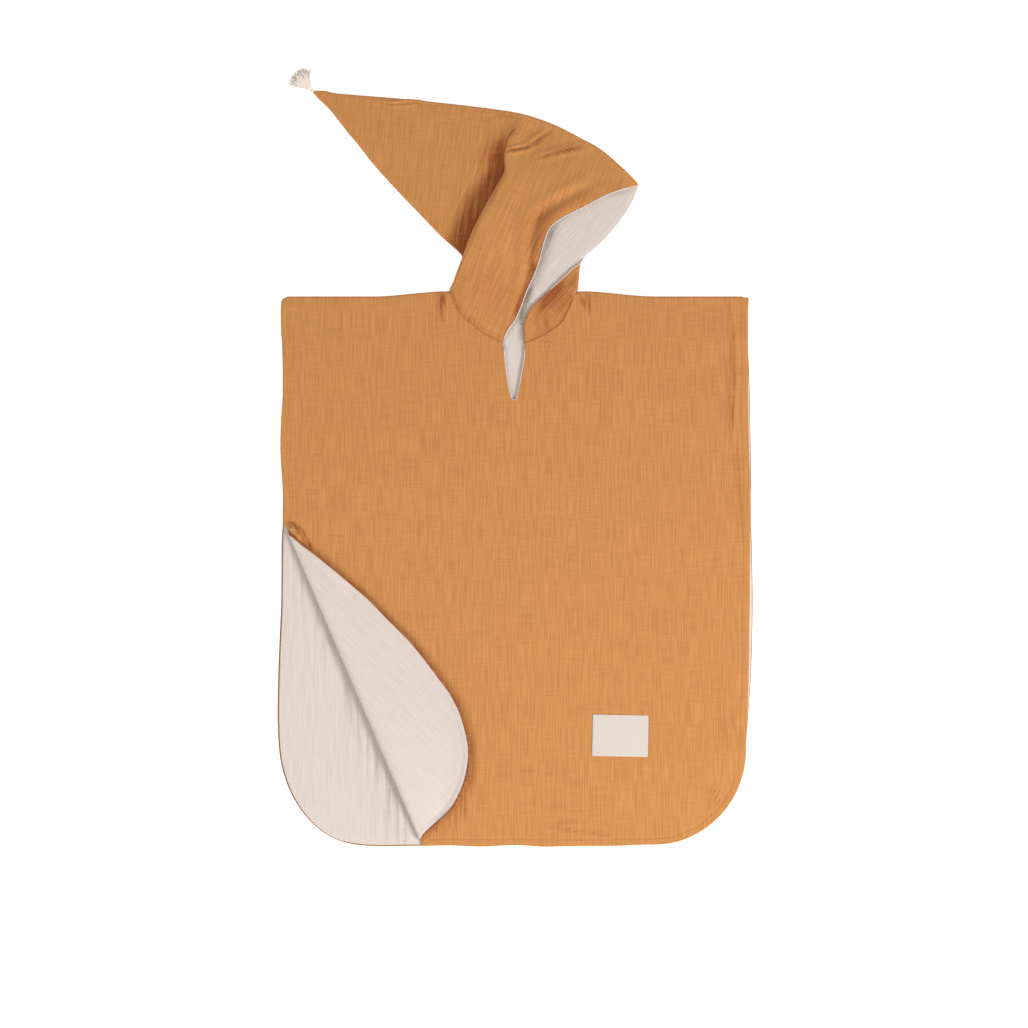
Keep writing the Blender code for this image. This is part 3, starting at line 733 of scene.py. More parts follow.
# x and y of both ends, half width, depth
FRONT_CREASES = (
    (271, 206, 277.5, 150, 2.4, 1),
    (277.5, 158, 279, 90, 2.4, 2),
    (279, 100, 275, 20, 2.2, 1.7),
    (273.9, 150, 272.5, 28, 2, 0.9),
    (268, 130, 269.5, 60, 2, 0.5),
    (281, 12, 286.6, -53, 2.4, 1.4),
    (286.6, -50, 289, -110, 2.4, 1),
    (-95, 208, -91.5, 176, 2.2, 2),
    (-90, 205, -88, 184, 1.8, 1.4),
    (-99, 200, -97, 182, 1.6, 0.8),
    (-102, 176, -86, 175, 2, 0.8),
    (93.5, 208, 96, 184, 2, 1.4),
    (88, 205, 89.5, 190, 1.6, 1),
    (41, 163, 44, 136, 1.8, 0.8),
    (46.5, 163, 50, 140, 1.8, 0.6),
    (-32, 153, -33, 134, 1.8, 0.5),
    (43.9, -470, 77, -474.5, 2.2, 1.6),
    (74, -475, 121, -481.5, 2.2, 1.5),
    (64, -411, 92, -416, 2.4, 0.8),
    (20, -440, 88, -452, 2.4, 0.7),
    (30, -462, 96, -466, 2, 0.7),
    (7, -398, 70, -402, 2.4, 0.6),
    (60, -428, 134, -434, 2.4, 0.6),
    (162.7, -318, 163.5, -332, 1.8, 1.1),
    (264, -309, 270, -372, 2.2, 1.2),
    (274, -318, 283, -366, 2.2, 1.1),
    (250, -419, 261, -447, 2.4, 1.3),
    (258, -300, 262, -350, 2.2, 0.7),
    (-176, 136, -174.5, 106, 1.8, 1),
    (-169, 126, -168, 104, 1.8, 0.8),
    (-166, 160, -165, 120, 1.8, 0.6),
    (-140, 164, -138, 134, 1.8, 0.9),
    (-222, 178, -221, 142, 1.8, 0.9),
    (-217, 160, -217, 142, 1.8, 0.6),
    (-289, -89, -280, -93, 3.4, -3.6),
    (-282, -92, -271, -106, 3.6, -4.6),
    (-288, -82, -279, -85.5, 1.8, 1.6),
    (-281, -84, -273.5, -97, 1.8, 2.2),
    (-275, -94, -267, -108, 1.8, 2.2),
    (-269, -104, -256, -118, 1.8, 1.8),
)
CREASE_FLANK = 2.2
CREASE_FOOT = 0.4
# share of a crease's depth that is painted as shade in it
CREASE_SHADE = 0.22
FRONT_RIBS = 0.5
STITCH_INSET = 8.5
STITCH_DEPTH = 0.35
LABEL_PLACE = (134.5, -354.0)
LABEL_SIZE = (70.0, 52.0)
LABEL_PRESS = 0.6


def creased(places, creases):
    """Heights of soft creases. Each is a trough between two raised flanks, or a plain ridge
    where its depth is negative."""
    height = np.zeros(len(places))
    for apart, deep, fade in strokes(places, creases):
        profile = CREASE_FLANK * apart ** 2 - CREASE_FOOT if deep > 0 else 1.0
        height += abs(deep) * profile * bell(apart) * fade
    return height


def front_settle(places, near, lift):
    """Adds the creases, the puckered line of the topstitching, and the press of the label."""
    x, y, z = places.T
    body = z < BODY_TOP
    neck = (y > 60.0) & (np.abs(x) < 120.0)
    stitched = bell((near - STITCH_INSET) / 1.5) * ~((y > NECK_EDGE) | neck)
    beyond = np.maximum(np.abs(x - LABEL_PLACE[0]) - LABEL_SIZE[0] / 2,
                        np.abs(y - LABEL_PLACE[1]) - LABEL_SIZE[1] / 2)
    pressed = 1 - LABEL_PRESS * ease(1 - beyond / 5) * body
    return lift * pressed - STITCH_DEPTH * stitched + creased(places, FRONT_CREASES) * body


# lines of painted shade: x and y of both ends, half width, depth
FRONT_SHADES = [
    (-288, -82, -277, -86, 1.8, 0.7),
    (-277, -86, -269, -94, 1.8, 1),
    (-269, -94, -264, -104, 1.8, 1),
    (-264, -104, -255, -117, 1.8, 0.8),
    (61, 183, 74, 202, 2.2, 1),
    (83, 206, 89, 190, 2.2, 0.8),
    (93, 202, 97, 180, 1.8, 0.5),
    (-91, 208, -90, 194, 2.6, 0.8),
    (-96, 196, -92, 172, 2, 0.4),
    (-55.3, -356, -51.5, -400, 3.2, 0.5),
    (-52, -392, -55, -428, 3.6, 0.6),
    (-61.6, -424, -62.9, -464, 1.6, 0.8),
    (-67.5, -436, -68.5, -462, 1.4, 0.6),
    (-73.6, -442, -74.4, -465, 1.5, 0.7),
    (-82, -450, -82, -471, 1.4, 0.6),
    (-99.8, -469, -98.5, -477, 2.4, 0.8),
]
# painted shadow on the front beside the turned corner's free edge
free_edge = [flap_points(flap, 0.0, 1)[0][0, :2] for flap in np.arange(20.0, 428.0, 12.0)]
FRONT_SHADES += [(*start, *end, 2.6, 0.8) for start, end in zip(free_edge, free_edge[1:])]


def front_shade(cut, places, near):
    """Painted shade on the front: in its creases, its neck seam and beside the turned corner, and along the
    turned corner's rim.
    """
    x, y, z = places.T
    seam = seam_shade(near) * (y > NECK_FOOT + 1) * (np.abs(x) < NECK_HALF)
    ribs = 0.7 + 0.6 * grooves(cut, 2.0, 0.8)
    deep = CREASE_SHADE * shaded(places, FRONT_CREASES) + shaded(places, FRONT_SHADES) * ribs + seam
    return np.where(z < BODY_TOP, deep, 0.8 * bell(near / 2.5))


OUTER_FLAP_ROWS = np.concatenate((
    np.arange(0.0, 24.0, 2.5),
    np.linspace(24.0, 404.0, 56),
    np.arange(407.0, 424.0, 3.0),
    np.arange(424.0, 432.1, 1.0),
))
cloth = sew_grids(front_grids(SEAM_ROLL, 0.0, OUTER_FLAP_ROWS, (28, 126, 164), 1.0))
front_gauze = finish_cloth("front_gauze", cloth, ochre_gauze, lambda cut, places: FRONT_RIBS,
                           front_edge_roll, front_settle, front_shade)
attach(front_gauze, "root")
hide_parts("front_outer")


def flap_ribs(cut, places):
    """The front lining's ribs, past the fold, where it lies open."""
    return 0.4 * ease(-(cut[:, :2] - FOLD_TOP) @ FOLD_ACROSS / 8.0)


def flap_settle(places, near, lift):
    """Puffs up the turned corner's edge between its rim and its stitched line."""
    puff = 0.4 * bell((near - 3.5) / 3.0) - 0.3 * bell((near - 8.0) / 1.6)
    return lift + puff * (places[:, 2] > FLAP_FOOT)


LINING_FLAP_ROWS = np.concatenate((
    np.arange(0.0, 24.0, 2.0),
    np.linspace(24.0, 420.0, 140),
    np.arange(421.0, 432.1, 1.0),
))
cloth = sew_grids(front_grids(LINING_INSET, LAYER, LINING_FLAP_ROWS, (44, 30, 24), 0.9))
front_lining_gauze = finish_cloth("front_lining_gauze", cloth, cream_gauze, flap_ribs,
                                  slit_roll, flap_settle, flipped=True)
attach(front_lining_gauze, "root")
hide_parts("front_lining")

# ---------------------------------------------------------------------------------------
# Hood. Two halves, ochre outside and cream inside, sewn to each other along the back and
# the top up to a point, and to the neckline below. It lies on its side: the lower half's
# front edge is rolled up and over, and a long crease folds the upper half on itself.

# back edge, crease and front edge of the upper half, in x and y, from neck to tip
UPPER = np.array([
    (-83, 210.5, -83, 210.5, -14.6, 145),
    (-78.2, 219.9, -78.2, 219.9, -10.8, 157.6),
    (-74.4, 231.3, -74.4, 231.3, 0.6, 174.1),
    (-65.5, 254.2, -65.5, 254.2, 7, 188.1),
    (-96, 284.7, -56.6, 278.3, 14.6, 208.4),
    (-129, 319, -41.3, 310.1, 28.6, 241.5),
    (-154.4, 345.7, -24.8, 339.4, 43.8, 289.8),
    (-177.3, 371.1, -12.1, 364.8, 90.9, 319),
    (-190, 387, -12.7, 376, 123.9, 335.5),
    (-202.7, 402.9, -12.3, 386.7, 158.5, 347),
    (-207.2, 408, -9.5, 397.5, 136.6, 367.3),
    (-211.6, 413.1, -5, 408, 111.2, 388.9),
    (-216, 418.8, 1, 417.5, 82, 405.4),
    (-220.5, 424.5, 6, 425, 42.6, 424.5),
    (-225, 430.2, -10, 433, 4.4, 436),
    (-229.4, 436, -52, 440.5, -38.8, 442.3),
    (-238.3, 446.1, -152, 452.3, -141.7, 453.7),
    (-247.2, 454.2, -229, 459.6, -225.5, 460.8),
    (-252.4, 459.4, -246, 463.6, -243.5, 464.6),
    (-257.4, 465.2, -257.4, 465.2, -257.4, 465.2),
])
# radius under the crease, rise of the band, overhang of the crease, lift of the face edge
HEIGHTS = np.array([
    (0, 0, 0, 0),
    (1.3, 7.5, 2.6, 3),
    (1.5, 11.5, 3.6, 4.6),
    (1.6, 15, 5, 5.8),
    (1.6, 17, 6.5, 6.6),
    (1.6, 17, 7, 7),
    (1.6, 14.5, 6.5, 7),
    (1.4, 11.4, 5, 5.4),
    (1.1, 9.4, 3.2, 3.2),
    (0.6, 7, 1.2, 0),
    (0.2, 4.6, 0.3, 0),
    (0.1, 2.2, 0.1, 0),
    (0, 0, 0, 0),
])
CORNER = 9
UPPER_BOW = 2.0
# back edge, turn and end of the lower half, in x and y, and the radius of the turn
LOWER_FRONT = np.array([
    (-83, 210.5, 80, 210.5, 13.3, 145, 1.95),
    (-80.5, 215.5, 81, 214.5, 12.1, 165.2, 2.8),
    (-78, 221, 81.3, 219, 19.7, 186.8, 3),
    (-75, 230, 82, 227, 42, 209, 2.4),
    (-70, 243, 82.5, 236, 66, 231.5, 1.9),
    (-65.5, 254.2, 84, 244, 78.5, 243.7, 1.8),
    (-96, 284.7, 89, 255, 89, 255, 1.8),
    (-129, 319, 107.4, 270.7, 107.4, 270.7, 0),
    (-154.4, 345.7, 130.3, 296.1, 130.3, 296.1, 0),
    (-177.3, 371.1, 148.1, 322.8, 148.1, 322.8, 0),
])
TURN_END = 6
LOWER_BOW = 3.5
NECK_CENTRE = np.array((0.0, 225.0))
NECK_SEAM = 0.8
LINING_SLACK = 1.6
EDGE_FADE = 10.0
FACE_INSET = 1.2
FACE_ROLL = 0.5
# x, y and reach of the hood's tip and its front corner, where it is thinner
THIN_ENDS = ((-257.4, 465.2, 45.0), (157.0, 345.7, 22.0))
THIN_SHARE = 0.5
# steps of the mesh round each section of the upper half, and of the lower
TAIL_STEPS, UNDER_STEPS, CREASE_STEPS, BAND_STEPS = 96, 6, 12, 72
FLOOR_STEPS, TURN_STEPS, FACE_STEPS = 46, 10, 26
UPPER_ROWS, LOWER_ROWS = 124, 130
# height at which the face opening ends, at the hood's front corner
FACE_TOP = 346.0
TAIL_LEAN, BAND_LEAN, FAR_LEAN = 6.0, 22.0, 41.0
LEAN_CENTRE = np.array((-6.0, 420.0))


def parts(count):
    """Even parts of a run, from 0 up to the last before 1."""
    return np.linspace(0.0, 1.0, count + 1)[:-1]


def unit(vector):
    """Unit vector, or none where the vector has no length."""
    length = np.linalg.norm(vector)
    return vector / length if length > 1e-6 else vector * 0.0


def plan_at(table, corner, position):
    """The places in a table at a fractional row, smooth but for the turn at its corner."""
    part = slice(0, corner + 1) if position <= corner else slice(corner, None)
    return flow(position, np.arange(len(table))[part], table[part])


def even_rows(table, corner, count):
    """Fractional rows of a table that lie about evenly far apart on the cloth."""
    fine = np.linspace(0.0, len(table) - 1, 40 * (len(table) - 1) + 1)
    steps = np.diff(flow(fine, np.arange(len(table)), table[:, :6]), axis=0)
    far = np.append(0.0, np.cumsum(np.linalg.norm(steps.reshape(-1, 3, 2), axis=2).max(axis=1)))
    return np.unique(np.append(np.interp(np.linspace(0.0, far[-1], count), far, fine), corner))


def neck_bow(side, part):
    """How far the front neckline bows away from the straight line between its ends."""
    heights = OPENING[:NECK_START - 1:-1, 0]
    y = flow(part * (len(heights) - 1), np.arange(len(heights)), heights)
    place = np.column_stack((flow(y, OPENING[:, 0], OPENING[:, side]), y))
    ends = OPENING[[-1, NECK_START]][:, [side, 0]]
    inward = NECK_CENTRE - place
    inward /= np.linalg.norm(inward, axis=1)[:, None]
    return place - ends[0] - (ends[1] - ends[0]) * part[:, None] + inward * NECK_SEAM


def leaned(points, lean):
    """Place in the flat cut of cloth whose ribs lean to the right of upright."""
    lean = np.radians(lean)
    x, y = points[..., 0] - LEAN_CENTRE[0], points[..., 1] - LEAN_CENTRE[1]
    return np.stack((x * np.cos(lean) - y * np.sin(lean), x * np.sin(lean) + y * np.cos(lean)), axis=-1)


def tip_share(x, y):
    """How thick the hood is near its tip and its front corner, as a share of the rest."""
    away = min(math.hypot(x - end[0], y - end[1]) / end[2] for end in THIN_ENDS)
    return min(THIN_SHARE + (1 - THIN_SHARE) * away, 1.0)


def thin_tip(mesh):
    """Draws the layers of the hood together towards its tip and its front corner."""
    for vert in mesh.verts:
        share = tip_share(vert.co.x / MM, vert.co.y / MM)
        vert.co.z = BACK_LEVEL * MM + (vert.co.z - BACK_LEVEL * MM) * share
    mesh.normal_update()


def upper_row(position, lining):
    """One section of the upper half, from its back edge round the crease to its front."""
    plan = plan_at(UPPER, CORNER, position)
    under, rise, overhang, lip = flow(position, np.arange(len(HEIGHTS)), HEIGHTS)
    back, front = plan[0:2], plan[4:6]
    aim = unit(front - plan[2:4])
    foot = plan[2:4] + aim * overhang
    seam = (LINING_INSET if lining else CLOSED_ROLL) * tip_share(*back)
    back = back + unit(foot - back) * min(seam, np.linalg.norm(foot - back) / 2)
    level = FRONT_LEVEL - LAYER * lining
    part = parts(TAIL_STEPS)[:, None]
    part = part * (1.5 - 0.5 * part)
    across = np.linspace(0.0, 1.0, BAND_STEPS + 1)
    run = front - foot
    stretch = -seam
    if position < CORNER:
        stretch = 0.0 if lining else -FACE_INSET
    stretch *= min(np.linalg.norm(run) / EDGE_FADE, 1.0)
    bow = max(1 - position / UPPER_BOW, 0.0) ** 2
    band = foot + (run + unit(run) * stretch) * across[:, None] + neck_bow(1, across) * bow
    band = raised(band, level + rise + (lip - rise) * ease(across))
    if lining:
        start = foot + aim * (under + LINING_SLACK * min(rise, 1.0))
        tail = raised(back + (start - back) * part, level)
        first = BAND_STEPS // 6
        bridge = parts(UNDER_STEPS + CREASE_STEPS + first)
        low = np.array((*start, level))
        middle = low + (band[first] - low) * bridge[:, None]
        middle[:, 2] = low[2] + (band[first][2] - low[2]) * ease(bridge)
        return np.vstack((tail, middle, band[first:]))
    tail = raised(back + (foot - back) * part, level)
    angle = np.pi * (parts(UNDER_STEPS) - 0.5)
    fold = raised(foot + aim * under * np.cos(angle)[:, None], level + under * (1 + np.sin(angle)))
    half = (rise - 2 * under) / 2
    angle = -np.pi * (0.5 + parts(CREASE_STEPS))
    crest = foot + aim * overhang * np.cos(angle)[:, None]
    crest = raised(crest, level + 2 * under + half + half * np.sin(angle))
    return np.vstack((tail, fold, crest, band))


def upper_grid(lining):
    """The upper half of the hood as one grid, with its ribs leaning as its cut does."""
    rows = even_rows(UPPER, CORNER, UPPER_ROWS)
    points = np.array([upper_row(position, lining) for position in rows])
    lean = np.full(points.shape[1], TAIL_LEAN)
    lean[-BAND_STEPS - 8:] = BAND_LEAN
    return points, leaned(points, lean), 0.9 if lining else 1.0


def near_edge_roll(x, y, z):
    """The upper half's edges: the neck seam, the face edge, and the seams that close it."""
    if y < 211.0 and x < -14.0:
        return NECK_ROLL, NECK_ROLL, 90.0
    if x > -15.0 and y < FACE_TOP:
        return FACE_ROLL, FACE_ROLL, 150.0
    radius = CLOSED_ROLL * tip_share(x, y)
    return radius, radius, 90.0


def face_piping(x, y, z):
    """A hood lining's face edge rolls outwards over the outer's, as a fine cream edge."""
    if x > -13.0 and NECK_FOOT + 1 < y < FACE_TOP - 2:
        radius = PIPING_ROLL * tip_share(x, y)
        return radius, radius, 200.0
    return None


HOOD_RIDGES = (
    (-14, 366, -2, 410, 9, -2.4),
    (-6, 398, 9, 430, 10, -3.2),
)
HOOD_CREASES = (
    (-10, 387, 17.2, 394, 2.8, 3.4),
    (14, 393, 45, 415.6, 3.6, 2.2),
    (27.3, 379.6, 60, 389, 3, 2.2),
    (54, 386.9, 90, 395, 2.8, 2.6),
    (36, 377, 94, 400, 2.8, 1.4),
    (104, 350, 52, 322, 10, 1.6),
    (66, 330, 24, 302, 12, 2.4),
    (30, 310, 18, 268, 12, 3),
    (20, 280, 18, 238, 9, 2.6),
    (18, 252, 8, 208, 7, 1.8),
    (20, 250, 27.3, 230.1, 2.4, 2.2),
    (8, 262, 20, 236, 2.8, 1.2),
)
TAIL_CREASES = (
    (-163, 448, -122.6, 451, 2.6, 1.1),
    (-60, 330, -36, 400, 3, 0.8),
    (-80, 300, -52, 360, 3, 0.8),
)
TAIL_RIBS, CREASE_RIBS, CREASE_REACH = 1.1, 3.4, 26.0
# how far the painted shade under the crease reaches, and where it ends above and below
UNDER_REACH, UNDER_TOP, UNDER_END = 39.0, 428.0, 246.0


def tail_ribs(cut, places):
    """The hood's ribs, deeper where the cloth is drawn in under the crease."""
    crease = flow(places[:, 1], UPPER[3:10, 3], UPPER[3:10, 2])
    inside = ease((FRONT_LEVEL + 2.0 - places[:, 2]) / 2.0) * (places[:, 0] < crease + 8.0)
    return TAIL_RIBS + CREASE_RIBS * inside * bell((crease - places[:, 0]) / CREASE_REACH)


# x and y of both ends, half width, depth of the painted shade
HOOD_SHADES = (
    (-10.8, 387.7, 19.7, 392, 2, 0.8),
    (17, 391.7, 34, 400, 2.4, 0.6),
    (30, 398, 47, 414, 4, 0.4),
    (32.4, 378.8, 57.8, 388, 2.2, 0.5),
    (53, 386.9, 88, 394.5, 2, 0.9),
    (108.7, 331.7, 57.8, 320.3, 8, 0.25),
    (60, 320.3, 17.2, 291.1, 13, 0.40),
    (42.6, 307.6, 24.8, 247.8, 12, 0.55),
    (20, 250, 27.3, 230.1, 2.6, 0.9),
    (26.5, 246, 14.5, 208, 3.6, 1),
    (15.5, 216, 0.5, 178, 4.4, 1),
    (-52, 245, -12, 180, 32, 0.22),
)
# painted shade inside the hood, in the same columns
INNER_SHADES = (
    (50, 298, 40, 268, 3.6, 0.9),
    (40, 270, 27.3, 231.3, 3.2, 0.6),
    (20, 225, 9, 180, 4.6, 1.6),
    (9, 184, 8, 150, 3.6, 1),
    (118, 331, 152, 342, 4, 0.35),
)
# painted shade on the turned-up face edge, in the same columns
FAR_SHADES = (
    (39, 199, 63, 224, 5.4, 1),
    (31, 184, 44, 203, 4.6, 0.8),
    (44, 180, 68, 215, 22, 0.6),
    (41.3, 158.9, 40, 181, 3, 0.5),
    (31, 160, 27, 178, 2.4, 0.3),
    (78.2, 203.4, 65.5, 174.1, 2.6, 0.9),
    (76, 226, 70, 196, 4, 0.3),
)


def on_band(x, z):
    """1 on the folded part of the upper half, 0 on the tail and under the crease."""
    return np.maximum(ease((z - FRONT_LEVEL) / 4.0), ease((x - 4.0) / 10.0))


def near_shade(cut, places, near):
    """Painted shade on the folded half: under the crease, in its creases and along its neck seam."""
    x, y, z = places.T
    crease = flow(y, UPPER[3:13, 3], UPPER[3:13, 2])
    inside = ease((FRONT_LEVEL + 3.0 - z) / 2.0) * (x < crease + 8.0)
    under = ease((UNDER_REACH - (crease - x)) / 24.0)
    under = under * ease((UNDER_TOP - y) / 50.0) * ease((y - UNDER_END) / 10.0)
    under = under * inside * (0.6 + 0.4 * grooves(cut, 2.0, 0.7))
    seam = seam_shade(near) * (y < 212.0)
    return under + seam + shaded(places, HOOD_SHADES) * on_band(x, z) * (x > crease - 8.0)


def near_settle(places, near, lift):
    """Adds the hood's creases, and the press of the seams along its edges."""
    band = on_band(places[:, 0], places[:, 2])
    lift = lift + creased(places, HOOD_CREASES) * band + creased(places, TAIL_CREASES) * (1 - band)
    return lift + creased(places, HOOD_RIDGES) * (places[:, 0] > -16.0)


cloth = sew_grids([upper_grid(False)])
thin_tip(cloth)
hood_near_gauze = finish_cloth("hood_near_gauze", cloth, ochre_gauze, tail_ribs,
                               near_edge_roll, near_settle, near_shade)
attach(hood_near_gauze, "root")
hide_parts("hood_near_outer")


def near_lining_settle(places, near, lift):
    """The lining of the folded part follows the outer's creases."""
    lift = lift + creased(places, HOOD_CREASES) * on_band(places[:, 0], places[:, 2] + LAYER)
    return lift + creased(places, HOOD_RIDGES) * (places[:, 0] > -10.0)


cloth = sew_grids([upper_grid(True)])
thin_tip(cloth)
hood_near_lining_gauze = finish_cloth("hood_near_lining_gauze", cloth, cream_gauze,
                                      lambda cut, places: 0.0, face_piping, near_lining_settle,
                                      flipped=True)
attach(hood_near_lining_gauze, "root")
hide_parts("hood_near_lining")

SHARED = UPPER[CORNER:][:, [0, 1, 4, 5, 4, 5]]
LOWER = np.vstack((LOWER_FRONT, np.column_stack((SHARED, np.zeros(len(SHARED))))))
LOWER_CORNER = len(LOWER_FRONT)


def lower_row(position, lining):
    """One section of the lower half: along the floor, round the turn and back."""
    plan = plan_at(LOWER, LOWER_CORNER, position)
    back, turn, end, radius = plan[0:2], plan[2:4], plan[4:6], plan[6]
    aim = unit(turn - back)
    room = np.linalg.norm(turn - back) / 2
    sweep = min(max(TURN_END - position, 0.0), 1.0)
    bow = max(1 - position / LOWER_BOW, 0.0) ** 2
    inset = min((LINING_INSET if lining else CLOSED_ROLL) * tip_share(*back), room)
    edge = -inset
    if position < LOWER_CORNER:
        edge = 0.0 if lining else -FACE_INSET * min(position, 1.0)
    back = back + aim * inset
    trim = edge if position > TURN_END else 0.0
    seam = np.array((0.0, (LINING_SEAM if lining else NECK_SEAM) * bow))
    centre = turn - aim * radius * min(2 * sweep, 1.0)
    part = parts(FLOOR_STEPS)[:, None]
    dip = 4 * NECK_DEPTH * part * (1 - part) * bow
    floor = back + (centre - back) * part + seam + aim * trim * part - dip * np.array((0.0, 1.0))
    floor = raised(floor, BACK_LEVEL)
    angle = np.pi * (np.linspace(0.0, 1.0, TURN_STEPS + 1) * sweep - 0.5)
    turned = centre + aim * (radius * np.cos(angle) + trim)[:, None] + seam
    turned = raised(turned, BACK_LEVEL + radius * (1 + np.sin(angle)))
    top = turned[-1, 2]
    part = np.linspace(0.0, 1.0, FACE_STEPS + 1)
    if sweep < 1:
        return np.vstack((floor, turned[:-1], np.tile(turned[-1], (len(part), 1))))
    away = unit(end - centre)
    rest = min(FRONT_LEVEL, top) + max(top - FRONT_LEVEL, 0.0) * ease(position - TURN_END + 2)
    band = centre + (end + away * edge - centre) * part[:, None] + neck_bow(2, part) * bow
    return np.vstack((floor, turned[:-1], raised(band, top + (rest - top) * ease(part))))


def lower_grid(lining):
    """The lower half of the hood as one grid."""
    rows = even_rows(LOWER, LOWER_CORNER, LOWER_ROWS)
    points = np.array([lower_row(position, lining) for position in rows])
    return points, leaned(points, FAR_LEAN), 0.4 if lining else 0.15


def far_edge_roll(x, y, z):
    """The lower half's edges: the neck seam, the face edge, and the seams that close it."""
    if y < 212.0 and (y - NECK_FOOT < x - OPENING[NECK_START, 2] + 1 or x < 10.0):
        return NECK_ROLL, NECK_ROLL, 90.0
    if x > 11.0 and y < FACE_TOP:
        return FACE_ROLL, FACE_ROLL, 150.0
    radius = CLOSED_ROLL * tip_share(x, y)
    return radius, radius, 90.0


def far_lining_roll(x, y, z):
    """The lower half's lining rolls down into the neck seam, and out along the face."""
    return lining_neck_roll(x, y, z) if z < 3.5 and y < 214.0 and x < 79.0 else face_piping(x, y, z)


def far_ribs(cut, places):
    """The outer's ribs, on the part that is turned up."""
    return ease(places[:, 2] - 5.0)


def far_shade(cut, places, near):
    """Painted shade on the turned-up face edge: in its creases and along its neck seam."""
    return shaded(places, FAR_SHADES) + seam_shade(near) * (places[:, 1] < 206.0)


def inner_ribs(cut, places):
    """The lining's ribs, where it lies open inside the hood."""
    return ease((places[:, 0] + 20.0) / 20.0) * (places[:, 2] < 3.0)


def inner_shade(cut, places, near):
    """Painted shade inside the hood."""
    return shaded(places, INNER_SHADES)


cloth = sew_grids([lower_grid(False)])
thin_tip(cloth)
hood_far_gauze = finish_cloth("hood_far_gauze", cloth, ochre_gauze, far_ribs, far_edge_roll,
                              shade=far_shade, flipped=True)
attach(hood_far_gauze, "root")
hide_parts("hood_far_outer")

cloth = sew_grids([lower_grid(True)])
moves = [vert.normal * LAYER * MM for vert in cloth.verts]
for vert, move in zip(cloth.verts, moves):
    vert.co += move
thin_tip(cloth)
hood_far_lining_gauze = finish_cloth("hood_far_lining_gauze", cloth, cream_gauze, inner_ribs,
                                     far_lining_roll, shade=inner_shade)
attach(hood_far_lining_gauze, "root")
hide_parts("hood_far_lining")

# ---------------------------------------------------------------------------------------
# Tassel. Soft cotton yarns, bound into a round head that is sewn into the hood's point, and
# cut to a bushy fan that lies on the surface.

TASSEL_HEAD = Vector((-257.6, 465.8, 2.6))
TASSEL_AIM = Vector((-0.66, 0.75, 0.0)).normalized()
UP = Vector((0.0, 0.0, 1.0))
TASSEL_SIDE = UP.cross(TASSEL_AIM)
HEAD_RADIUS = 1.7
HEAD_TURNS = 4
YARN_RADIUS = 0.6
YARNS = 300
YARN_STEPS = 6
YARN_TAPER = 0.4
FAN_ANGLE = 29.0
FAN_LENGTHS = (24.0, 32.0)
# how much shorter the outermost yarns are cut, how far a yarn bends, and how high they rise
FAN_CUT = 3.5
FAN_BEND = 8.0
FAN_RISE = 3.6
BINDING = 1.5


def cotton_yarn(name, dark, light):
    """Loosely spun cotton: matt, pale and slightly uneven, with plies about 0.5 mm wide."""
    material, tree, shader = new_material(name)
    place = add_node(tree, "TexCoord", {}, "Object")
    inputs = {"Vector": place, "Scale": 1 / (2.0 * MM), "Detail": 2.0}
    plies = add_node(tree, "TexNoise", inputs)
    inputs = {0: plies, 6: linear(dark), 7: linear(light)}
    tone = add_node(tree, "Mix", inputs, 2, data_type="RGBA")
    bump = add_node(tree, "Bump", {"Height": plies, "Distance": 0.2 * MM, "Strength": 0.6})
    set_inputs(tree, shader, {
        "Base Color": tone, "Normal": bump, "Roughness": 0.9, "Specular IOR Level": 0.25,
        "Sheen Weight": 0.15,
    })
    return material


def add_yarn(curve, points, radii, closed):
    """Adds a yarn through the points to a curve."""
    spline = curve.splines.new("POLY")
    spline.points.add(len(points) - 1)
    spline.use_cyclic_u = closed
    for knot, point, radius in zip(spline.points, points, radii):
        knot.co = (*(point * MM), 1.0)
        knot.radius = radius


cream_yarn = cotton_yarn("cream_cotton_yarn", "#eee1d5", "#f8ede2")
yarns = bpy.data.curves.new("yarns", "CURVE")
yarns.dimensions = "3D"
yarns.bevel_depth = YARN_RADIUS * MM
yarns.bevel_resolution = 1
yarns.use_fill_caps = True
draws = np.random.default_rng(31)
for yarn in range(YARNS):
    spread, rise, longer, bend = (*draws.uniform(-1.0, 1.0, 1), *draws.uniform(0.0, 1.0, 2), draws.normal())
    length = FAN_LENGTHS[0] + (FAN_LENGTHS[1] - FAN_LENGTHS[0]) * longer - FAN_CUT * spread ** 2
    start = TASSEL_AIM * 0.6 + TASSEL_SIDE * (spread * 1.1) + UP * (2.2 * rise - 1.1)
    points, radii = [], []
    for step in range(YARN_STEPS + 1):
        part = step / YARN_STEPS
        turn = math.radians(FAN_ANGLE * spread + FAN_BEND * bend * part)
        point = start + (TASSEL_AIM * math.cos(turn) + TASSEL_SIDE * math.sin(turn)) * length * part
        point.z += (FAN_RISE * rise - 1.0) * math.sin(math.pi * 0.6 * part)
        point += TASSEL_HEAD
        points.append(Vector((point.x, point.y, max(point.z, YARN_RADIUS + 0.1))))
        radii.append(1.0 - YARN_TAPER * part ** 3)
    add_yarn(yarns, points, radii, False)
for turn in range(HEAD_TURNS):
    tilt = math.pi * (0.12 + 0.76 * turn / (HEAD_TURNS - 1))
    centre = TASSEL_HEAD - TASSEL_AIM * (HEAD_RADIUS * math.cos(tilt))
    ring = [centre + (TASSEL_SIDE * math.cos(a) + UP * math.sin(a)) * HEAD_RADIUS * math.sin(tilt)
            for a in np.radians(np.arange(0.0, 360.0, 30.0))]
    add_yarn(yarns, ring, [BINDING] * len(ring), True)
coil = bpy.data.objects.new("yarns", yarns)
bpy.context.scene.collection.objects.link(coil)
bpy.context.view_layer.update()
data = bpy.data.meshes.new_from_object(coil.evaluated_get(bpy.context.evaluated_depsgraph_get()))
bpy.data.objects.remove(coil)
mesh = bmesh.new()
mesh.from_mesh(data)
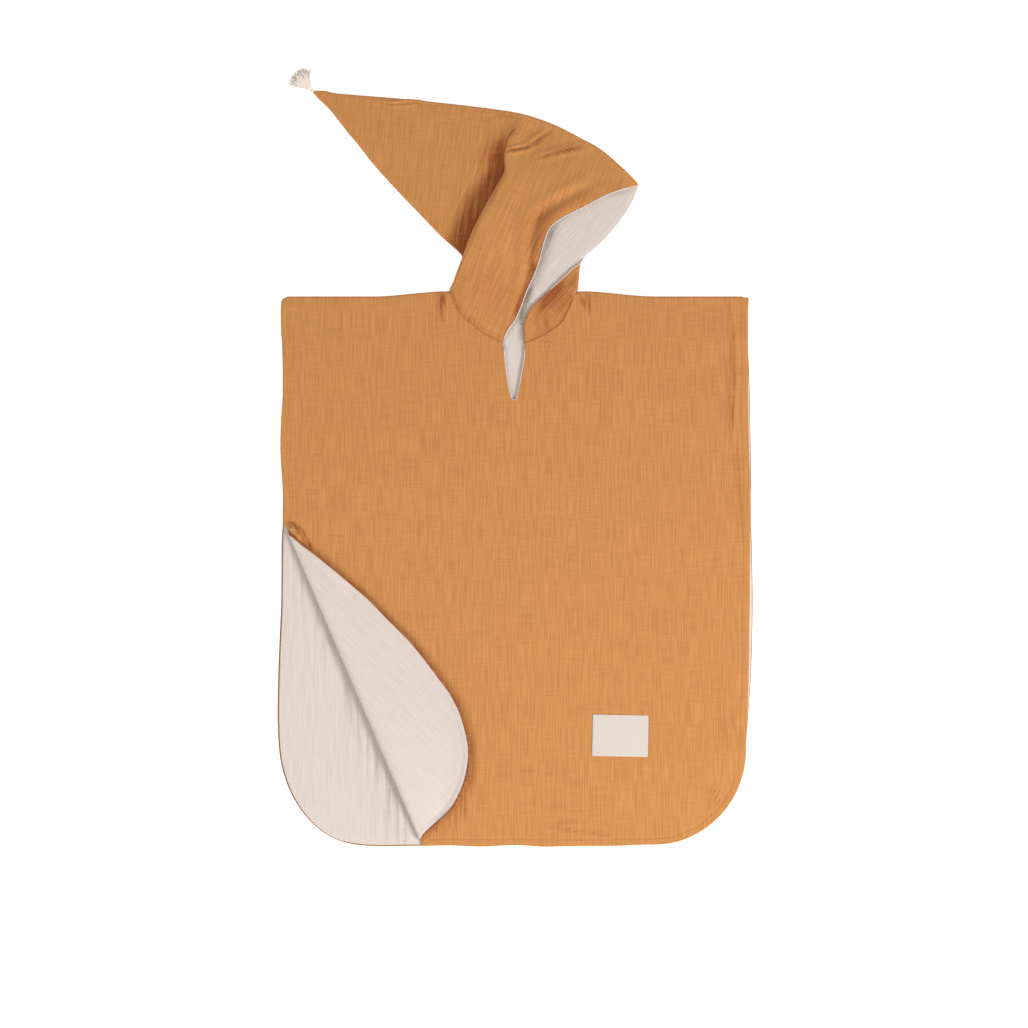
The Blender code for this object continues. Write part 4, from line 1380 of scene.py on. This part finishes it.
bmesh.ops.remove_doubles(mesh, verts=mesh.verts, dist=MERGE / 20)
tip_tassel = add_piece("tip_tassel", mesh, cream_yarn)
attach(tip_tassel, "root")
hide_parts("tassel")

# ---------------------------------------------------------------------------------------
# Label. A plain woven cotton label with its edges folded under, sewn flat to the lower
# right of the front by a row of small stitches just inside its edges. It is bare.

LABEL_TURN = math.radians(-1.0)
LABEL_CORNER = 1.6
LABEL_REST = 0.6
LABEL_STEP = 2.0
LABEL_ROLL = 0.35
LABEL_WALL = 0.4
# how much of the cloth's unevenness shows through the label
LABEL_GIVE = 0.35
ABOVE_ALL = 60.0


def woven_tape(name, dark, light):
    """Plain-woven cotton tape: smooth and pale, with a fine even weave of 0.4 mm threads,
    drawn at 1.0 mm so that it shows."""
    material, tree, shader = new_material(name)
    cut = add_node(tree, "UVMap", {}, uv_map="cut")
    relief = 0.0
    for direction in ("X", "Y"):
        inputs = {"Vector": cut, "Scale": math.pi / (10 * MM), "Distortion": 1.0, "Detail": 1.0}
        wave = add_node(tree, "TexWave", inputs, "Fac", bands_direction=direction)
        relief = add_node(tree, "Math", {0: wave, 1: 0.5, 2: relief},
                          operation="MULTIPLY_ADD")
    inputs = {0: relief, 6: linear(dark), 7: linear(light)}
    tone = add_node(tree, "Mix", inputs, 2, data_type="RGBA")
    bump = add_node(tree, "Bump", {"Height": relief, "Distance": 0.2 * MM, "Strength": 0.5})
    set_inputs(tree, shader, {
        "Base Color": tone, "Normal": bump, "Roughness": 0.8, "Specular IOR Level": 0.3,
    })
    return material


def ground_of(piece):
    """The finished surface of a piece, for what lies on it."""
    bpy.context.view_layer.update()
    return BVHTree.FromObject(piece, bpy.context.evaluated_depsgraph_get())


def settled(ground, x, y):
    """The place on a surface straight below a point in the plan."""
    return ground.ray_cast(Vector((x * MM, y * MM, ABOVE_ALL * MM)), -UP)[0]


front_ground = ground_of(front_gauze)
width, height = LABEL_SIZE
x, y = np.meshgrid(np.linspace(-width / 2, width / 2, int(width / LABEL_STEP) + 1),
                   np.linspace(-height / 2, height / 2, int(height / LABEL_STEP) + 1))
cut = np.stack((x, y), axis=-1)
cloth = sew_grids([(np.stack((x, y, np.zeros_like(x)), axis=-1), cut, 0.0)])
corners = [vert for vert in cloth.verts if len(vert.link_edges) == 2]
bmesh.ops.bevel(cloth, geom=corners, affect="VERTICES", offset=LABEL_CORNER * MM, segments=4,
                profile=0.5, material=-1)
spin = Matrix.Translation(Vector((*LABEL_PLACE, 0.0)) * MM) @ Matrix.Rotation(LABEL_TURN, 4, "Z")
bmesh.ops.transform(cloth, matrix=spin, verts=cloth.verts)
levels = [settled(front_ground, *(vert.co.xy / MM)).z for vert in cloth.verts]
mean = sum(levels) / len(levels)
for vert, level in zip(cloth.verts, levels):
    vert.co.z = max(mean + LABEL_GIVE * (level - mean), level - 0.1 * MM) + LABEL_REST * MM
for _ in range(3):
    bmesh.ops.smooth_vert(cloth, verts=cloth.verts, factor=0.5, use_axis_z=True)
cloth.normal_update()
turn_edge(cloth, lambda x, y, z: (LABEL_ROLL, LABEL_ROLL, 90.0), steps=3)
label_tape = woven_tape("cream_woven_cotton_tape", "#c4b7ad", "#e6dbd2")
sewn_label = add_cloth("sewn_label", cloth, label_tape, LABEL_WALL)
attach(sewn_label, "root")
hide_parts("label")

# ---------------------------------------------------------------------------------------
# Stitching. Ochre cotton thread, sewn through both layers of the front a finger's width
# inside its hem and sides. It shows cream on the turned corner's lining, and a finer cream
# thread holds the label.

STITCH_PITCH = 3.4
STITCH_LENGTH = 2.5
STITCH_RADIUS = 0.3
LABEL_STITCH_INSET = 1.8
LABEL_STITCH_SCALE = 0.6


def sew_line(mesh, path, ground, scale=1.0):
    """Lays a row of stitches along a path in the plan, each a spindle half sunk in."""
    path = np.asarray(path)
    far = np.append(0.0, np.cumsum(np.linalg.norm(np.diff(path, axis=0), axis=1)))
    for start in np.arange(0.0, far[-1] - STITCH_LENGTH * scale, STITCH_PITCH * scale):
        ends = [start, start + STITCH_LENGTH * scale]
        ends = [settled(ground, np.interp(at, far, path[:, 0]), np.interp(at, far, path[:, 1]))
                for at in ends]
        if None in ends:
            continue
        middle, run = (ends[0] + ends[1]) / 2, ends[1] - ends[0]
        radius = STITCH_RADIUS * scale * MM
        shape = Matrix.Diagonal((radius, radius, run.length / 2, 1.0))
        place = Matrix.Translation(middle) @ run.to_track_quat("Z", "Y").to_matrix().to_4x4() @ shape
        bmesh.ops.create_uvsphere(mesh, u_segments=6, v_segments=4, radius=1.0, matrix=place)


def inside_line(outline, inset):
    """A line in the plan that runs an even distance to the left of an outline."""
    run = np.gradient(outline, axis=0)
    run /= np.linalg.norm(run, axis=1)[:, None]
    return outline + inset * np.column_stack((-run[:, 1], run[:, 0]))


rounds = HEM_Y + RIGHT_CORNER[1] * (1 - np.cos(np.radians(np.arange(0.0, 90.0, 1.5))))
right_y = np.concatenate((rounds, np.arange(-370.0, 196.0, 5.0)))
right_side = np.column_stack((side_at(right_y, 2), right_y))
hem_x = np.arange(FOLD_FOOT[0] + 6.0, right_side[0, 0] - 3.0, 5.0)
hem = np.column_stack((hem_x, np.full_like(hem_x, HEM_Y)))
left_y = np.arange(196.0, FOLD_TOP[1] + 4.0, -5.0)
left_side = np.column_stack((side_at(left_y, 1), left_y))
mesh = bmesh.new()
sew_line(mesh, inside_line(np.vstack((hem, right_side)), STITCH_INSET), front_ground)
sew_line(mesh, inside_line(left_side, STITCH_INSET), front_ground)
ochre_thread = cotton_yarn("ochre_cotton_thread", "#b8743a", "#cc8a4c")
topstitching = add_piece("topstitching", mesh, ochre_thread)
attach(topstitching, "root")

mesh = bmesh.new()
flap_line = [flap_points(flap, LAYER, 1, STITCH_INSET)[0][0, :2] for flap in np.arange(40.0, 404.0, 4.0)]
sew_line(mesh, flap_line, ground_of(front_lining_gauze))
width, height = (size / 2 - LABEL_STITCH_INSET for size in LABEL_SIZE)
turns = [(-width, -height), (width, -height), (width, height), (-width, height), (-width, -height)]
turns = [Matrix.Rotation(LABEL_TURN, 2) @ Vector(turn) + Vector(LABEL_PLACE) for turn in turns]
sew_line(mesh, turns, ground_of(sewn_label), LABEL_STITCH_SCALE)
cream_thread = cotton_yarn("cream_cotton_thread", "#cfc0b2", "#dfd2c6")
cream_stitching = add_piece("cream_stitching", mesh, cream_thread)
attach(cream_stitching, "root")

# ---------------------------------------------------------------------------------------
# Studio. A plain white table that glows a little from below, a pale room, broad soft lights
# low on both sides, and a camera straight above with a long lens.

FLOOR_SIZE = 6.0
CAMERA_HEIGHT = 3.0
VIEW_CENTRE = (-0.0006, -0.0724)
VIEW_WIDTH = 1.3066
CLOTH_HEIGHT = 0.005
ROOM_STRENGTH = 0.48
SOFTBOX_WIDTH = 1.2
# name, place and power of each light
SOFTBOXES = (
    ("right_softbox", Vector((2.3, -1.8, 1.8)), 104.0),
    ("left_softbox", Vector((-2.2, -1.0, 1.9)), 28.0),
)

mesh = bmesh.new()
bmesh.ops.create_grid(mesh, x_segments=1, y_segments=1, size=FLOOR_SIZE / 2)
matt_white, tree, board = new_material("matt_white_board")
set_inputs(tree, board, {
    "Base Color": linear("#fdfdfd"), "Roughness": 0.9, "Emission Color": linear("#ffffff"),
    "Emission Strength": 0.6,
})
white_floor = add_piece("white_floor", mesh, matt_white)

world = bpy.data.worlds.new("pale_room")
world.use_nodes = True
set_inputs(world.node_tree, world.node_tree.nodes["Background"], {
    "Color": linear("#ffffff"), "Strength": ROOM_STRENGTH,
})
bpy.context.scene.world = world

for name, place, power in SOFTBOXES:
    softbox = bpy.data.lights.new(name, "AREA")
    softbox.shape = "DISK"
    softbox.size = SOFTBOX_WIDTH
    softbox.energy = power
    lamp = bpy.data.objects.new(name, softbox)
    lamp.location = place
    lamp.rotation_euler = (-place).to_track_quat("-Z", "Y").to_euler()
    bpy.context.scene.collection.objects.link(lamp)

lens = bpy.data.cameras.new("long_lens")
lens.sensor_width = 36.0
lens.lens = lens.sensor_width * (CAMERA_HEIGHT - CLOTH_HEIGHT) / VIEW_WIDTH
camera = bpy.data.objects.new("camera", lens)
camera.location = (*VIEW_CENTRE, CAMERA_HEIGHT)
bpy.context.scene.collection.objects.link(camera)
bpy.context.scene.camera = camera
bpy.context.scene.view_settings.view_transform = "Standard"
